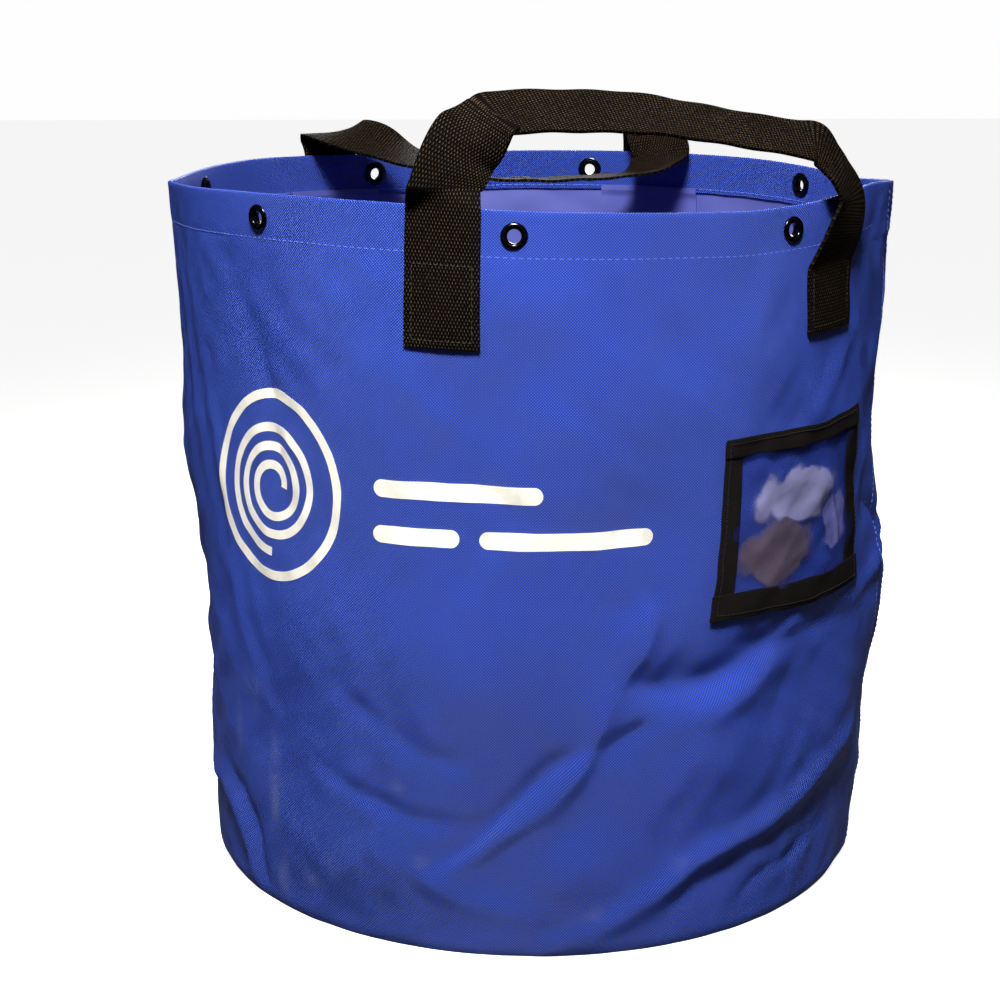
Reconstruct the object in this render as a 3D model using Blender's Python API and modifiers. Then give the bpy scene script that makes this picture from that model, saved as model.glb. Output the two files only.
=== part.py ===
"""Rope storage bag: a soft round tub of coated fabric with two webbing handles.

The body is one sheet rolled round a base disc and lapped at a side seam. Its top edge is
folded inwards as a hem, and eyelets go through both plies of that hem. Each handle is a
length of webbing: two sewn tabs and, above a flex line just over the rim, the loop that swings.

Metres, +Z up. The origin is the centre of the base's underside. Azimuth 0 is the front (-Y),
and azimuths grow towards +X. "Left" and "right" are as seen from the front.
"""

import math

import bmesh
import bpy
from mathutils import Matrix, Vector

# Body
BASE_RADIUS = 0.205
BAG_HEIGHT = 0.418
MOUTH_WIDENING = 0.007      # how much further than the base the mouth's oval reaches sideways
FLARE_START = 0.17          # height where the round body starts to turn into the oval mouth
FLARE_POWER = 1.2
BELLY = 0.005               # how far the side stands out at mid-height
FABRIC = 0.0009
CLEARANCE = 0.0003          # gap kept between pieces that touch
COLUMN_STEP = 5.0           # degrees between the body's columns

# Storage creases: the bag was kept folded flat, so its mouth has two corners
LEFT_CREASE_AZIMUTH = 272.0
LEFT_CREASE_PEAK = 0.0105
RIGHT_CREASE_AZIMUTH = 87.0
RIGHT_CREASE_PEAK = 0.0045
CREASE_SPREAD = 9.0         # degrees over which a crease dies away

# Side seam and hem
SEAM_AZIMUTH = 72.0         # where the under end of the sheet starts
LAP_WIDTH = 0.025
HEM_DEPTH = 0.026
HEM_PLY_GAP = 0.0005

# Base
BASE_TURN_UP = 0.016        # seam allowance of the base, turned up inside the body
BASE_CORNER = 0.004

# Handles
WEBBING_WIDTH = 0.040
WEBBING = 0.0018
TAB_LENGTH = 0.072          # from the tab's lower end to the rim
PIVOT_RISE = 0.014          # height of the flex line over the rim
LEVEL_END = 0.25            # share of a loop over which its ends turn level with the flex line
PIVOT_GAP = 0.002           # from the flex line to the tab below it and to the loop beyond it
FRONT_TAB_AZIMUTHS = (-16.25, 49.5)
REAR_TAB_AZIMUTHS = (153.5, 220.5)

# Reinforcement patches behind the tabs
PATCH_WIDTH = 0.072
PATCH_HEIGHT = 0.070
PATCH_BELOW_EYELETS = 0.0025

# Eyelets
LONE_EYELET_AZIMUTHS = (-49.5, 118.5, 257.5)
# Beside a strap: (the strap's azimuth, side, space between the strap's edge and the flange)
STRAP_EYELETS = (
    (FRONT_TAB_AZIMUTHS[0], 1, 0.0105),
    (FRONT_TAB_AZIMUTHS[1], -1, 0.0031),
    (REAR_TAB_AZIMUTHS[0], 1, 0.0167),
    (REAR_TAB_AZIMUTHS[1], -1, 0.0060),
)
EYELET_DROP = 0.0125        # from the rim down to the hole's centre
EYELET_BORE = 0.0040
EYELET_BARREL = 0.0047
EYELET_FLANGE = 0.0080
EYELET_LIP = 0.0063
EYELET_METAL = 0.0006
EYELET_CROWN = 0.0012
EYELET_ROUNDING = 0.0004    # how much the crown's edges are eased at the bore and at the rim
EYELET_MOUTH = 0.4          # share of the crown's height where the bore begins
EYELET_SHOULDER = 0.75      # share of the crown's height at its eased edges
EYELET_SEAT_GAP = 0.0006    # a flat flange on a curved wall needs more than CLEARANCE
EYELET_SIDES = 16

# Label pocket
POCKET_AZIMUTH = 43.6
POCKET_WIDTH = 0.124
POCKET_HEIGHT = 0.104
POCKET_BELOW_TABS = 0.0505  # from the tabs' lower ends to the pocket's top edge
POCKET_MESH = 0.011         # length of a facet along the pocket
WINDOW = 0.0004
TAPE_WIDTH = 0.012
TAPE = 0.0009

RIM = BAG_HEIGHT
PIVOT_HEIGHT = RIM + PIVOT_RISE
POCKET_LOW = RIM - TAB_LENGTH - POCKET_BELOW_TABS - POCKET_HEIGHT
PATCH_DROP = EYELET_DROP + EYELET_FLANGE + PATCH_BELOW_EYELETS
PLY_STEP = FABRIC + HEM_PLY_GAP
FULL_TURN = 360.0
UP = Vector((0, 0, 1))


def clear_scene():
    """Removes what the file opened with."""
    for found in list(bpy.data.objects):
        bpy.data.objects.remove(found)


def make_collection(name):
    collection = bpy.data.collections.new(name)
    bpy.context.scene.collection.children.link(collection)
    return collection


clear_scene()
BAG = make_collection("rope_storage_bag")
CUTTERS = make_collection("cutters")


def make_material(name, colour, roughness, metallic=0.0):
    material = bpy.data.materials.new(name)
    material.use_nodes = True
    shader = material.node_tree.nodes["Principled BSDF"]
    shader.inputs["Base Color"].default_value = (*colour, 1.0)
    shader.inputs["Roughness"].default_value = roughness
    shader.inputs["Metallic"].default_value = metallic
    return material


COATED_FABRIC = make_material("coated_fabric", (0.012, 0.050, 0.480), 0.50)
FABRIC_BACK = make_material("fabric_back", (0.070, 0.080, 0.400), 0.45)
BLACK_WEBBING = make_material("black_webbing", (0.012, 0.010, 0.008), 0.65)
BLACK_TAPE = make_material("black_tape", (0.010, 0.010, 0.011), 0.80)
CLEAR_VINYL = make_material("clear_vinyl", (0.250, 0.240, 0.420), 0.10)
BLACK_NICKEL = make_material("black_nickel", (0.030, 0.030, 0.033), 0.22, 1.0)


# The body's surface

def crease(azimuth, centre, peak):
    """The outward corner that a storage crease gives the mouth."""
    away = abs((azimuth - centre + FULL_TURN / 2) % FULL_TURN - FULL_TURN / 2)
    return peak * math.exp(-away / CREASE_SPREAD)


def mouth_radius(azimuth):
    """The mouth is an oval as long round its edge as the base, with two crease corners."""
    half_width = BASE_RADIUS + MOUTH_WIDENING
    half_depth = math.sqrt(2 * BASE_RADIUS**2 - half_width**2)
    angle = math.radians(azimuth)
    oval = 1 / math.hypot(math.sin(angle) / half_width, math.cos(angle) / half_depth)
    left = crease(azimuth, LEFT_CREASE_AZIMUTH, LEFT_CREASE_PEAK)
    right = crease(azimuth, RIGHT_CREASE_AZIMUTH, RIGHT_CREASE_PEAK)
    return oval + left + right


def wall_radius(azimuth, height):
    """Round at the base, oval at the mouth, a little fuller half way up."""
    rise = min(max((height - FLARE_START) / (RIM - FLARE_START), 0.0), 1.0)
    belly = BELLY * math.sin(math.pi * min(height / RIM, 1.0))
    flare = (mouth_radius(azimuth) - BASE_RADIUS) * rise**FLARE_POWER
    return BASE_RADIUS + flare + belly


def on_wall(azimuth, height):
    """A point on the middle of the wall sheet."""
    angle = math.radians(azimuth)
    radius = wall_radius(azimuth, height)
    return Vector((radius * math.sin(angle), -radius * math.cos(angle), height))


def plan_normal(azimuth, height):
    """Level direction that points out of the wall."""
    half_step = 0.5
    along = on_wall(azimuth + half_step, height) - on_wall(azimuth - half_step, height)
    return along.cross(UP).normalized()


def wall_point(azimuth, height, offset=0.0):
    """A point that stands off the middle of the wall sheet, outwards if offset is positive."""
    return on_wall(azimuth, height) + plan_normal(azimuth, height) * offset


def width_in_degrees(width, azimuth, height):
    """The angle that a piece of this width covers on the wall."""
    return math.degrees(width / wall_radius(azimuth, height))


# Making sheets and turned pieces

def add_object(name, mesh, material, collection=BAG):
    made = bpy.data.objects.new(name, mesh)
    collection.objects.link(made)
    mesh.materials.append(material)
    mesh.shade_smooth()
    mesh.set_sharp_from_angle(angle=math.radians(35))
    return made


def add_thickness(made, thickness):
    """Thickens an open surface evenly to both sides."""
    solidify = made.modifiers.new("thickness", "SOLIDIFY")
    solidify.thickness = thickness
    solidify.offset = 0.0
    solidify.use_rim = True
    return made


def add_sheet(name, columns, rows, place, thickness, material, origin=(0, 0, 0)):
    """A flat grid of cloth, put in shape by place(column, row), and given its thickness."""
    mesh = bpy.data.meshes.new(name)
    grid = bmesh.new()
    bmesh.ops.create_grid(grid, x_segments=columns, y_segments=rows, size=0.5)
    for vertex in grid.verts:
        column = round((vertex.co.x + 0.5) * columns)
        row = round((vertex.co.y + 0.5) * rows)
        vertex.co = place(column, row) - Vector(origin)
    grid.to_mesh(mesh)
    grid.free()
    made = add_object(name, mesh, material)
    made.location = origin
    return add_thickness(made, thickness)


def add_turned(name, profile, steps, material, closed):
    """A profile of (radius, height) points, turned round Z by a Screw modifier."""
    mesh = bpy.data.meshes.new(name)
    points = [(radius, 0.0, height) for radius, height in profile]
    edges = [(i, i + 1) for i in range(len(points) - 1)]
    if closed:
        edges.append((len(points) - 1, 0))
    mesh.from_pydata(points, edges, [])
    made = add_object(name, mesh, material)
    screw = made.modifiers.new("turn", "SCREW")
    screw.steps = steps
    screw.render_steps = steps
    screw.use_merge_vertices = True
    screw.merge_threshold = 0.00005
    return made


# Body

def lap_lift(azimuth, height):
    """How far the outer end of the sheet stands off where it laps over the under end."""
    over_hem = 2 * FABRIC + HEM_PLY_GAP + CLEARANCE
    over_wall = FABRIC + 2 * CLEARANCE
    full = over_hem if height > RIM - HEM_DEPTH - CLEARANCE else over_wall
    ramp = (azimuth - SEAM_AZIMUTH - FULL_TURN + COLUMN_STEP) / COLUMN_STEP
    return full * min(max(ramp, 0.0), 1.0)


def wall_azimuths():
    """Columns from the under end, once round, and on over the lap."""
    turns = round(FULL_TURN / COLUMN_STEP)
    azimuths = [SEAM_AZIMUTH + COLUMN_STEP * i for i in range(turns + 1)]
    lap = math.degrees(LAP_WIDTH / BASE_RADIUS)
    return azimuths + [azimuths[-1] + lap / 2, azimuths[-1] + lap]


def wall_profile():
    """(offset, height) of each row: up the outside, over the rim, down the hem's inner ply."""
    fold = PLY_STEP / 2
    hem_low = RIM - HEM_DEPTH
    heights = [hem_low * share for share in (0.0, 0.22, 0.42, 0.60, 0.76, 0.90)]
    rows = [(0.0, height) for height in heights]
    rows += [(0.0, hem_low - 2 * CLEARANCE), (0.0, hem_low), (0.0, RIM - fold)]
    for angle in (math.radians(45 * i) for i in (1, 2, 3)):
        rows.append((fold * (math.cos(angle) - 1), RIM - fold + fold * math.sin(angle)))
    rows += [(-PLY_STEP, RIM - fold), (-PLY_STEP, RIM - HEM_DEPTH / 2), (-PLY_STEP, hem_low)]
    return rows


def add_wall():
    azimuths = wall_azimuths()
    profile = wall_profile()

    def place(column, row):
        azimuth = azimuths[column]
        offset, height = profile[row]
        return wall_point(azimuth, height, offset + lap_lift(azimuth, height))

    columns = len(azimuths) - 1
    rows = len(profile) - 1
    return add_sheet("wall_panel", columns, rows, place, FABRIC, COATED_FABRIC)


def add_base():
    """A disc whose edge is turned up inside the wall, where it is sewn."""
    radius = BASE_RADIUS - FABRIC - 2 * CLEARANCE
    low = FABRIC / 2
    corner = BASE_CORNER
    eased = corner * (1 - math.sqrt(0.5))
    profile = [(0.0, low), (radius / 2, low), (radius - corner, low)]
    profile.append((radius - eased, low + eased))
    profile += [(radius, low + corner), (radius, BASE_TURN_UP)]
    profile.reverse()
    steps = round(FULL_TURN / COLUMN_STEP)
    made = add_turned("base_panel", profile, steps, COATED_FABRIC, closed=False)
    return add_thickness(made, FABRIC)


# Eyelets

def eyelet_azimuths():
    """All the eyelets in turn; one beside a strap keeps its space from the strap's edge."""
    azimuths = list(LONE_EYELET_AZIMUTHS)
    for strap, side, space in STRAP_EYELETS:
        away = WEBBING_WIDTH / 2 + EYELET_FLANGE + space
        azimuths.append(strap + side * math.degrees(away / BASE_RADIUS))
    return sorted(azimuths)


def eyelet_frame(azimuth):
    """Middle of the wall sheet at the eyelet, with Z pointing out of the bag."""
    height = RIM - EYELET_DROP
    step = 0.002
    upwards = on_wall(azimuth, height + step) - on_wall(azimuth, height - step)
    along = on_wall(azimuth + 1, height) - on_wall(azimuth - 1, height)
    out = along.cross(upwards).normalized()
    side = UP.cross(out).normalized()
    turn = Matrix((side, out.cross(side), out)).transposed().to_4x4()
    return Matrix.Translation(on_wall(azimuth, height)) @ turn


def eyelet_levels():
    """Local heights of the flange's seat outside and of the washer's seat inside the hem."""
    outside = FABRIC / 2 + EYELET_SEAT_GAP
    inside = -(PLY_STEP + FABRIC / 2 + EYELET_SEAT_GAP)
    return outside, inside


def eyelet_profile():
    """Crowned flange outside, barrel through the hem, rolled lip under the washer."""
    outside, inside = eyelet_levels()
    lip_top = inside - EYELET_METAL - CLEARANCE
    lip_low = lip_top - EYELET_METAL
    crown_radius = (EYELET_BORE + EYELET_FLANGE) / 2
    shoulder = outside + EYELET_CROWN * EYELET_SHOULDER
    mouth = outside + EYELET_CROWN * EYELET_MOUTH
    outer_side = [
        (EYELET_BORE + EYELET_ROUNDING, shoulder),
        (crown_radius, outside + EYELET_CROWN),
        (EYELET_FLANGE - EYELET_ROUNDING, shoulder),
        (EYELET_FLANGE, outside),
        (EYELET_BARREL, outside),
        (EYELET_BARREL, lip_top),
        (EYELET_LIP, lip_top),
        (EYELET_LIP, lip_low),
    ]
    return outer_side + [(EYELET_BORE, lip_low), (EYELET_BORE, mouth)]


def washer_profile():
    _, inside = eyelet_levels()
    bore = EYELET_BARREL + CLEARANCE
    low = inside - EYELET_METAL
    return [(EYELET_FLANGE, inside), (EYELET_FLANGE, low), (bore, low), (bore, inside)]


def add_eyelets():
    for number, azimuth in enumerate(eyelet_azimuths(), start=1):
        frame = eyelet_frame(azimuth)
        eyelet = add_turned(
            f"eyelet_{number}", eyelet_profile(), EYELET_SIDES, BLACK_NICKEL, closed=True
        )
        eyelet.matrix_world = frame
        washer = add_turned(
            f"eyelet_washer_{number}", washer_profile(), EYELET_SIDES, BLACK_NICKEL, closed=True
        )
        washer.matrix_world = frame


def punch_eyelet_holes(wall):
    """Cuts the wall and its hem where the barrels pass through."""
    mesh = bpy.data.meshes.new("eyelet_punches")
    punches = bmesh.new()
    for azimuth in eyelet_azimuths():
        bmesh.ops.create_cone(
            punches,
            cap_ends=True,
            segments=EYELET_SIDES,
            radius1=EYELET_BARREL + CLEARANCE,
            radius2=EYELET_BARREL + CLEARANCE,
            depth=6 * (PLY_STEP + FABRIC),
            matrix=eyelet_frame(azimuth),
        )
    punches.to_mesh(mesh)
    punches.free()
    cutter = add_object("eyelet_punches", mesh, BLACK_NICKEL, CUTTERS)
    cutter.hide_render = True
    cutter.display_type = "WIRE"
    cut = wall.modifiers.new("eyelet_holes", "BOOLEAN")
    cut.operation = "DIFFERENCE"
    cut.solver = "EXACT"
    cut.object = cutter


# Handles

def tab_offset():
    return FABRIC / 2 + CLEARANCE + WEBBING / 2


def pivot_point(azimuth):
    """Where the middle of a strap crosses the flex line over its tab."""
    point = wall_point(azimuth, RIM, tab_offset())
    return Vector((point.x, point.y, PIVOT_HEIGHT))


def handle_axes(azimuths):
    """The flex line's start and directions: along it, and level into the bag."""
    start = pivot_point(azimuths[0])
    along = (pivot_point(azimuths[1]) - start).normalized()
    return start, along, UP.cross(along)


def add_tab(name, azimuth, azimuths):
    """Lies on the wall up to the rim, then turns until it is square to the flex line."""
    _, along, _ = handle_axes(azimuths)
    spread = width_in_degrees(WEBBING_WIDTH, azimuth, RIM)
    top = PIVOT_HEIGHT - PIVOT_GAP
    low = RIM - TAB_LENGTH
    heights = [low + (RIM - low) * i / 4 for i in range(5)]
    heights += [RIM + (top - RIM) * i / 4 for i in (1, 2, 3, 4)]
    columns = 4

    def place(column, row):
        across = column / columns - 0.5
        height = heights[row]
        flat = wall_point(azimuth + across * spread, min(height, RIM), tab_offset())
        flat.z = height
        square = pivot_point(azimuth) + along * (across * WEBBING_WIDTH)
        square.z = height
        turned = max(height - RIM, 0.0) / (top - RIM)
        return flat.lerp(square, turned)

    add_sheet(name, columns, len(heights) - 1, place, WEBBING, BLACK_WEBBING)


def catmull_rom(points, share):
    """A point on the smooth curve through these points, share going from 0 to 1."""
    spans = len(points) - 1
    span = min(int(share * spans), spans - 1)
    t = share * spans - span
    p0 = points[max(span - 1, 0)]
    p1 = points[span]
    p2 = points[span + 1]
    p3 = points[min(span + 2, spans)]
    linear = (p2 - p0) * t
    square = (2 * p0 - 5 * p1 + 4 * p2 - p3) * t**2
    cube = (3 * p1 - p0 - 3 * p2 + p3) * t**3
    return (2 * p1 + linear + square + cube) / 2


def add_loop(name, azimuths, route, leans, segments=30):
    """The free part of a strap, from one flex point to the other.

    route holds (share of the way along the flex line, metres into the bag, metres up).
    leans holds the direction of the strap's width at each of those points, as
    (along, into the bag, up).
    """
    start, along, inwards = handle_axes(azimuths)
    span = (pivot_point(azimuths[1]) - start).length
    centres = [along * (a * span) + inwards * i + UP * z for a, i, z in route]
    widths = [(along * a + inwards * i + UP * z).normalized() for a, i, z in leans]

    def place(column, row):
        share = row / segments
        centre = catmull_rom(centres, share)
        ahead = catmull_rom(centres, min(share + 0.001, 1.0))
        behind = catmull_rom(centres, max(share - 0.001, 0.0))
        heading = (ahead - behind).normalized()
        width = catmull_rom(widths, share)
        squared = min(min(share, 1 - share) / LEVEL_END, 1.0)
        width = (width - heading * (width.dot(heading) * squared)).normalized()
        return start + centre + width * ((column / 2 - 0.5) * WEBBING_WIDTH)

    add_sheet(name, 2, segments, place, WEBBING, BLACK_WEBBING, origin=start)


def add_handles():
    add_tab("front_handle_left_tab", FRONT_TAB_AZIMUTHS[0], FRONT_TAB_AZIMUTHS)
    add_tab("front_handle_right_tab", FRONT_TAB_AZIMUTHS[1], FRONT_TAB_AZIMUTHS)
    add_tab("rear_handle_right_tab", REAR_TAB_AZIMUTHS[0], REAR_TAB_AZIMUTHS)
    add_tab("rear_handle_left_tab", REAR_TAB_AZIMUTHS[1], REAR_TAB_AZIMUTHS)

    # The front loop stands up, with its near edge a little lower than its far edge
    front_route = (
        (0.000, 0.000, PIVOT_GAP),
        (0.000, 0.000, 0.006),
        (0.016, 0.002, 0.014),
        (0.073, 0.006, 0.026),
        (0.155, 0.009, 0.035),
        (0.300, 0.010, 0.037),
        (0.500, 0.010, 0.035),
        (0.660, 0.008, 0.030),
        (0.838, 0.005, 0.023),
        (0.960, 0.003, 0.015),
        (1.000, 0.000, 0.006),
        (1.000, 0.000, PIVOT_GAP),
    )
    front_leans = (
        (1.0, 0.0, 0.0),
        (1.0, 0.0, 0.0),
        (1.0, -0.1, 0.0),
        (0.8, -0.5, -0.2),
        (0.4, -0.8, -0.4),
        (0.0, -0.87, -0.5),
        (0.0, -0.87, -0.5),
        (0.0, -0.87, -0.5),
        (-0.4, -0.8, -0.4),
        (-0.9, -0.4, -0.1),
        (-1.0, 0.0, 0.0),
        (-1.0, 0.0, 0.0),
    )
    add_loop("front_handle_loop", FRONT_TAB_AZIMUTHS, front_route, front_leans)

    # The rear loop has flopped forwards over the mouth and lies nearly level
    rear_route = (
        (0.000, PIVOT_GAP, 0.000),
        (0.000, 0.007, 0.000),
        (0.010, 0.016, 0.000),
        (0.045, 0.027, -0.005),
        (0.120, 0.038, -0.014),
        (0.230, 0.045, -0.022),
        (0.400, 0.049, -0.026),
        (0.580, 0.048, -0.024),
        (0.750, 0.042, -0.014),
        (0.880, 0.034, -0.003),
        (0.960, 0.025, 0.002),
        (0.990, 0.015, 0.001),
        (1.000, 0.007, 0.000),
        (1.000, PIVOT_GAP, 0.000),
    )
    rear_leans = (
        (1.0, 0.0, 0.0),
        (1.0, 0.0, 0.0),
        (1.0, -0.1, 0.0),
        (0.9, -0.5, 0.0),
        (0.6, -0.8, 0.1),
        (0.2, -1.0, 0.1),
        (0.0, -1.0, 0.1),
        (0.0, -1.0, 0.1),
        (-0.2, -1.0, 0.3),
        (-0.6, -0.8, 0.4),
        (-0.9, -0.5, 0.3),
        (-1.0, -0.1, 0.1),
        (-1.0, 0.0, 0.0),
        (-1.0, 0.0, 0.0),
    )
    add_loop("rear_handle_loop", REAR_TAB_AZIMUTHS, rear_route, rear_leans)


def add_patch(name, azimuth):
    """A patch inside the wall: its top laps over the hem, the rest lies on the wall."""
    top = RIM - PATCH_DROP
    hem_low = RIM - HEM_DEPTH
    over_hem = -(PLY_STEP + FABRIC + 2 * CLEARANCE)
    on_fabric = -(FABRIC + 2 * CLEARANCE)
    low = top - PATCH_HEIGHT
    step = FABRIC + HEM_PLY_GAP
    rows = [(on_fabric, low), (on_fabric, (low + hem_low) / 2), (on_fabric, hem_low - 2 * step)]
    rows += [(over_hem, hem_low - step), (over_hem, top)]
    spread = width_in_degrees(PATCH_WIDTH, azimuth, RIM)
    columns = 6

    def place(column, row):
        offset, height = rows[row]
        return wall_point(azimuth + (column / columns - 0.5) * spread, height, offset)

    add_sheet(name, columns, len(rows) - 1, place, FABRIC, FABRIC_BACK)


def add_patches():
    add_patch("front_left_patch", FRONT_TAB_AZIMUTHS[0])
    add_patch("front_right_patch", FRONT_TAB_AZIMUTHS[1])
    add_patch("rear_right_patch", REAR_TAB_AZIMUTHS[0])
    add_patch("rear_left_patch", REAR_TAB_AZIMUTHS[1])


# Label pocket

def add_on_pocket(name, across, upwards, offset, thickness, material):
    """A strip on the pocket; across and upwards are its (low, high) in metres from the middle
    of the pocket's lower edge."""
    middle = POCKET_LOW + POCKET_HEIGHT / 2
    per_metre = width_in_degrees(1.0, POCKET_AZIMUTH, middle)
    columns = max(1, round((across[1] - across[0]) / POCKET_MESH))
    rows = max(1, round((upwards[1] - upwards[0]) / POCKET_MESH / 2))

    def place(column, row):
        x = across[0] + (across[1] - across[0]) * column / columns
        z = upwards[0] + (upwards[1] - upwards[0]) * row / rows
        return wall_point(POCKET_AZIMUTH + x * per_metre, POCKET_LOW + z, offset)

    add_sheet(name, columns, rows, place, thickness, material)


def add_pocket():
    half = POCKET_WIDTH / 2
    tall = POCKET_HEIGHT
    window_offset = FABRIC / 2 + CLEARANCE + WINDOW / 2
    side_offset = window_offset + WINDOW / 2 + CLEARANCE + TAPE / 2
    end_offset = side_offset + TAPE + CLEARANCE
    inner = half - TAPE_WIDTH
    edge = 2 * CLEARANCE
    window_across = (-half + edge, half - edge)
    window_upwards = (edge, tall - edge)
    add_on_pocket("label_window", window_across, window_upwards, window_offset, WINDOW, CLEAR_VINYL)
    sides = (("left", (-half, -inner)), ("right", (inner, half)))
    for side, across in sides:
        name = f"label_tape_{side}"
        add_on_pocket(name, across, (edge, tall - edge), side_offset, TAPE, BLACK_TAPE)
    ends = (("bottom", (0.0, TAPE_WIDTH)), ("top", (tall - TAPE_WIDTH, tall)))
    for end, upwards in ends:
        name = f"label_tape_{end}"
        add_on_pocket(name, (-half, half), upwards, end_offset, TAPE, BLACK_TAPE)


wall_panel = add_wall()
punch_eyelet_holes(wall_panel)
add_base()
add_eyelets()
add_handles()
add_patches()
add_pocket()
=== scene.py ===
import math
import random

import bpy
import numpy as np
from mathutils import Matrix, Vector


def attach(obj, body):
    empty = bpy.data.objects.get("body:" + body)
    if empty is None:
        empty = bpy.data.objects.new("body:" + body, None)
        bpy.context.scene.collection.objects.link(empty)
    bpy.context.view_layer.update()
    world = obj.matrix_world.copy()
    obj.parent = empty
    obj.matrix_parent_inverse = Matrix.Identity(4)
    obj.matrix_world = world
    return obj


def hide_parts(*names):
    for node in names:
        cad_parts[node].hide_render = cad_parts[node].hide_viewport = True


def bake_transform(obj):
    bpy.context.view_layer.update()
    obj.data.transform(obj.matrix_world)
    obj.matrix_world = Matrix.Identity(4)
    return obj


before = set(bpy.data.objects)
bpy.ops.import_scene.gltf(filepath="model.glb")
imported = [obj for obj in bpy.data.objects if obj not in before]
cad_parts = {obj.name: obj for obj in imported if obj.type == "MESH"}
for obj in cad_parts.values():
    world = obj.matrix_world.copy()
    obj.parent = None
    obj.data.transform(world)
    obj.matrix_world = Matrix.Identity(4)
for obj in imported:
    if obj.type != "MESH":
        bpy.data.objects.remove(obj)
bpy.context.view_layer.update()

# A rope storage bag. Azimuth 0 is the front (-Y) and grows towards +X, in degrees;
# lengths are in metres. Left and right are as seen from the front.
MM = 0.001
UP = Vector((0.0, 0.0, 1.0))

# ---------------------------------------------------------------- sizes from the CAD model
BASE_RADIUS = 0.205
RIM = 0.418
MOUTH_WIDENING = 0.007
FLARE_START = 0.17
FLARE_POWER = 1.2
BELLY = 0.005
FABRIC = 0.9 * MM
CLEARANCE = 0.3 * MM
CREASES = ((272.0, 10.5 * MM), (87.0, 4.5 * MM))
CREASE_SPREAD = 9.0
SEAM_AZIMUTH = 72.0
LAP_WIDTH = 25 * MM
HEM_DEPTH = 26 * MM
HEM_PLY_GAP = 0.5 * MM
PLY_STEP = FABRIC + HEM_PLY_GAP
WEBBING_WIDTH = 40 * MM
WEBBING = 1.8 * MM
TAB_LENGTH = 72 * MM
PIVOT_HEIGHT = RIM + 14 * MM
FRONT_TABS = (-16.25, 49.5)
REAR_TABS = (153.5, 220.5)
TAB_OFFSET = FABRIC / 2 + CLEARANCE + WEBBING / 2
BASE_TURN_UP = 16 * MM

# ---------------------------------------------------------------- camera, floor and lights
CAMERA_PLACE = (-0.0548, -1.231, 0.5331)
CAMERA_DIP, CAMERA_TURN = 0.2532, 0.0275  # radians below level, and to the right
CAMERA_LENS, CAMERA_SENSOR = 71.83, 36.0  # mm
camera = bpy.data.objects.new("camera", bpy.data.cameras.new("camera"))
bpy.context.scene.collection.objects.link(camera)
camera.location = CAMERA_PLACE
camera.rotation_euler = (math.pi / 2 - CAMERA_DIP, 0.0, -CAMERA_TURN)
camera.data.lens = CAMERA_LENS
camera.data.sensor_width = CAMERA_SENSOR
bpy.context.scene.camera = camera
bpy.context.scene.view_settings.view_transform = "Standard"


def linear(code, alpha=1.0):
    """An sRGB hex colour as the linear values that shaders take."""
    parts = [int(code[i:i + 2], 16) / 255 for i in (1, 3, 5)]
    curved = [c / 12.92 if c <= 0.04045 else ((c + 0.055) / 1.055) ** 2.4 for c in parts]
    return (*curved, alpha)


def add_light(name, location, target, size, watts, colour, spread=180):
    data = bpy.data.lights.new(name, "AREA")
    data.shape = "RECTANGLE"
    data.size, data.size_y = size
    data.energy = watts
    data.spread = math.radians(spread)
    data.color = linear(colour)[:3]
    lamp = bpy.data.objects.new(name, data)
    bpy.context.scene.collection.objects.link(lamp)
    lamp.location = location
    aim = Vector(target) - Vector(location)
    lamp.rotation_euler = aim.to_track_quat("-Z", "Y").to_euler()


add_light(
    "key_softbox", (-0.15, -1.15, 1.75), (-0.03, -0.2, 0.53), (0.50, 0.36), 5.7, "#FFFDF8", 46
)
add_light("back_fill", (0.25, 1.6, 0.75), (0.0, 0.1, 0.2), (0.8, 0.8), 3, "#FFFFFF", 60)
add_light("top_fill", (0.1, 0.5, 1.9), (0.0, 0.1, 0.2), (1.2, 1.0), 1.8, "#FFFFFF")


# ---------------------------------------------------------------- node helper
def node(tree, kind, settings=None, **inputs):
    """Adds a shader node; an input is a value or another node's output, by socket name or index."""
    made = tree.nodes.new(kind)
    for key, value in (settings or {}).items():
        setattr(made, key, value)
    for key, value in inputs.items():
        slot = key.replace("_", " ")
        socket = made.inputs[int(slot[1:])] if slot[1:].isdigit() else made.inputs[slot]
        if isinstance(value, bpy.types.NodeSocket):
            tree.links.new(value, socket)
        else:
            socket.default_value = value
    return made


def new_material(name):
    """An empty material with its Principled shader."""
    made = bpy.data.materials.new(name)
    made.use_nodes = True
    return made, made.node_tree, made.node_tree.nodes["Principled BSDF"]


def maths(tree, operation, a, b=0.0):
    return node(tree, "ShaderNodeMath", {"operation": operation}, i0=a, i1=b).outputs[0]


def mixed(tree, share, a, b):
    """Colour a where share is 0, b where it is 1."""
    mix = node(tree, "ShaderNodeMix", {"data_type": "RGBA"}, i0=share, i6=a, i7=b)
    return mix.outputs[2]


def ramp(tree, value, low, high):
    """Smooth 0 to 1 as value goes from low to high."""
    settings = {"interpolation_type": "SMOOTHSTEP"}
    made = node(tree, "ShaderNodeMapRange", settings, i0=value, i1=low, i2=high, i3=0.0, i4=1.0)
    return made.outputs[0]


def lattice(tree, across, along, map_name="cloth"):
    """Over-and-under pattern of a weave, -1 to 1, from the map in metres; the sizes are one
    thread's spacing across and along the cloth."""
    place = node(tree, "ShaderNodeUVMap", {"uv_map": map_name}).outputs[0]
    apart = node(tree, "ShaderNodeSeparateXYZ", i0=place)
    waves = []
    for axis, spacing in ((0, across), (1, along)):
        turned = maths(tree, "MULTIPLY", apart.outputs[axis], math.pi / spacing)
        waves.append(maths(tree, "SINE", turned))
    return maths(tree, "MULTIPLY", *waves), place


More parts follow.
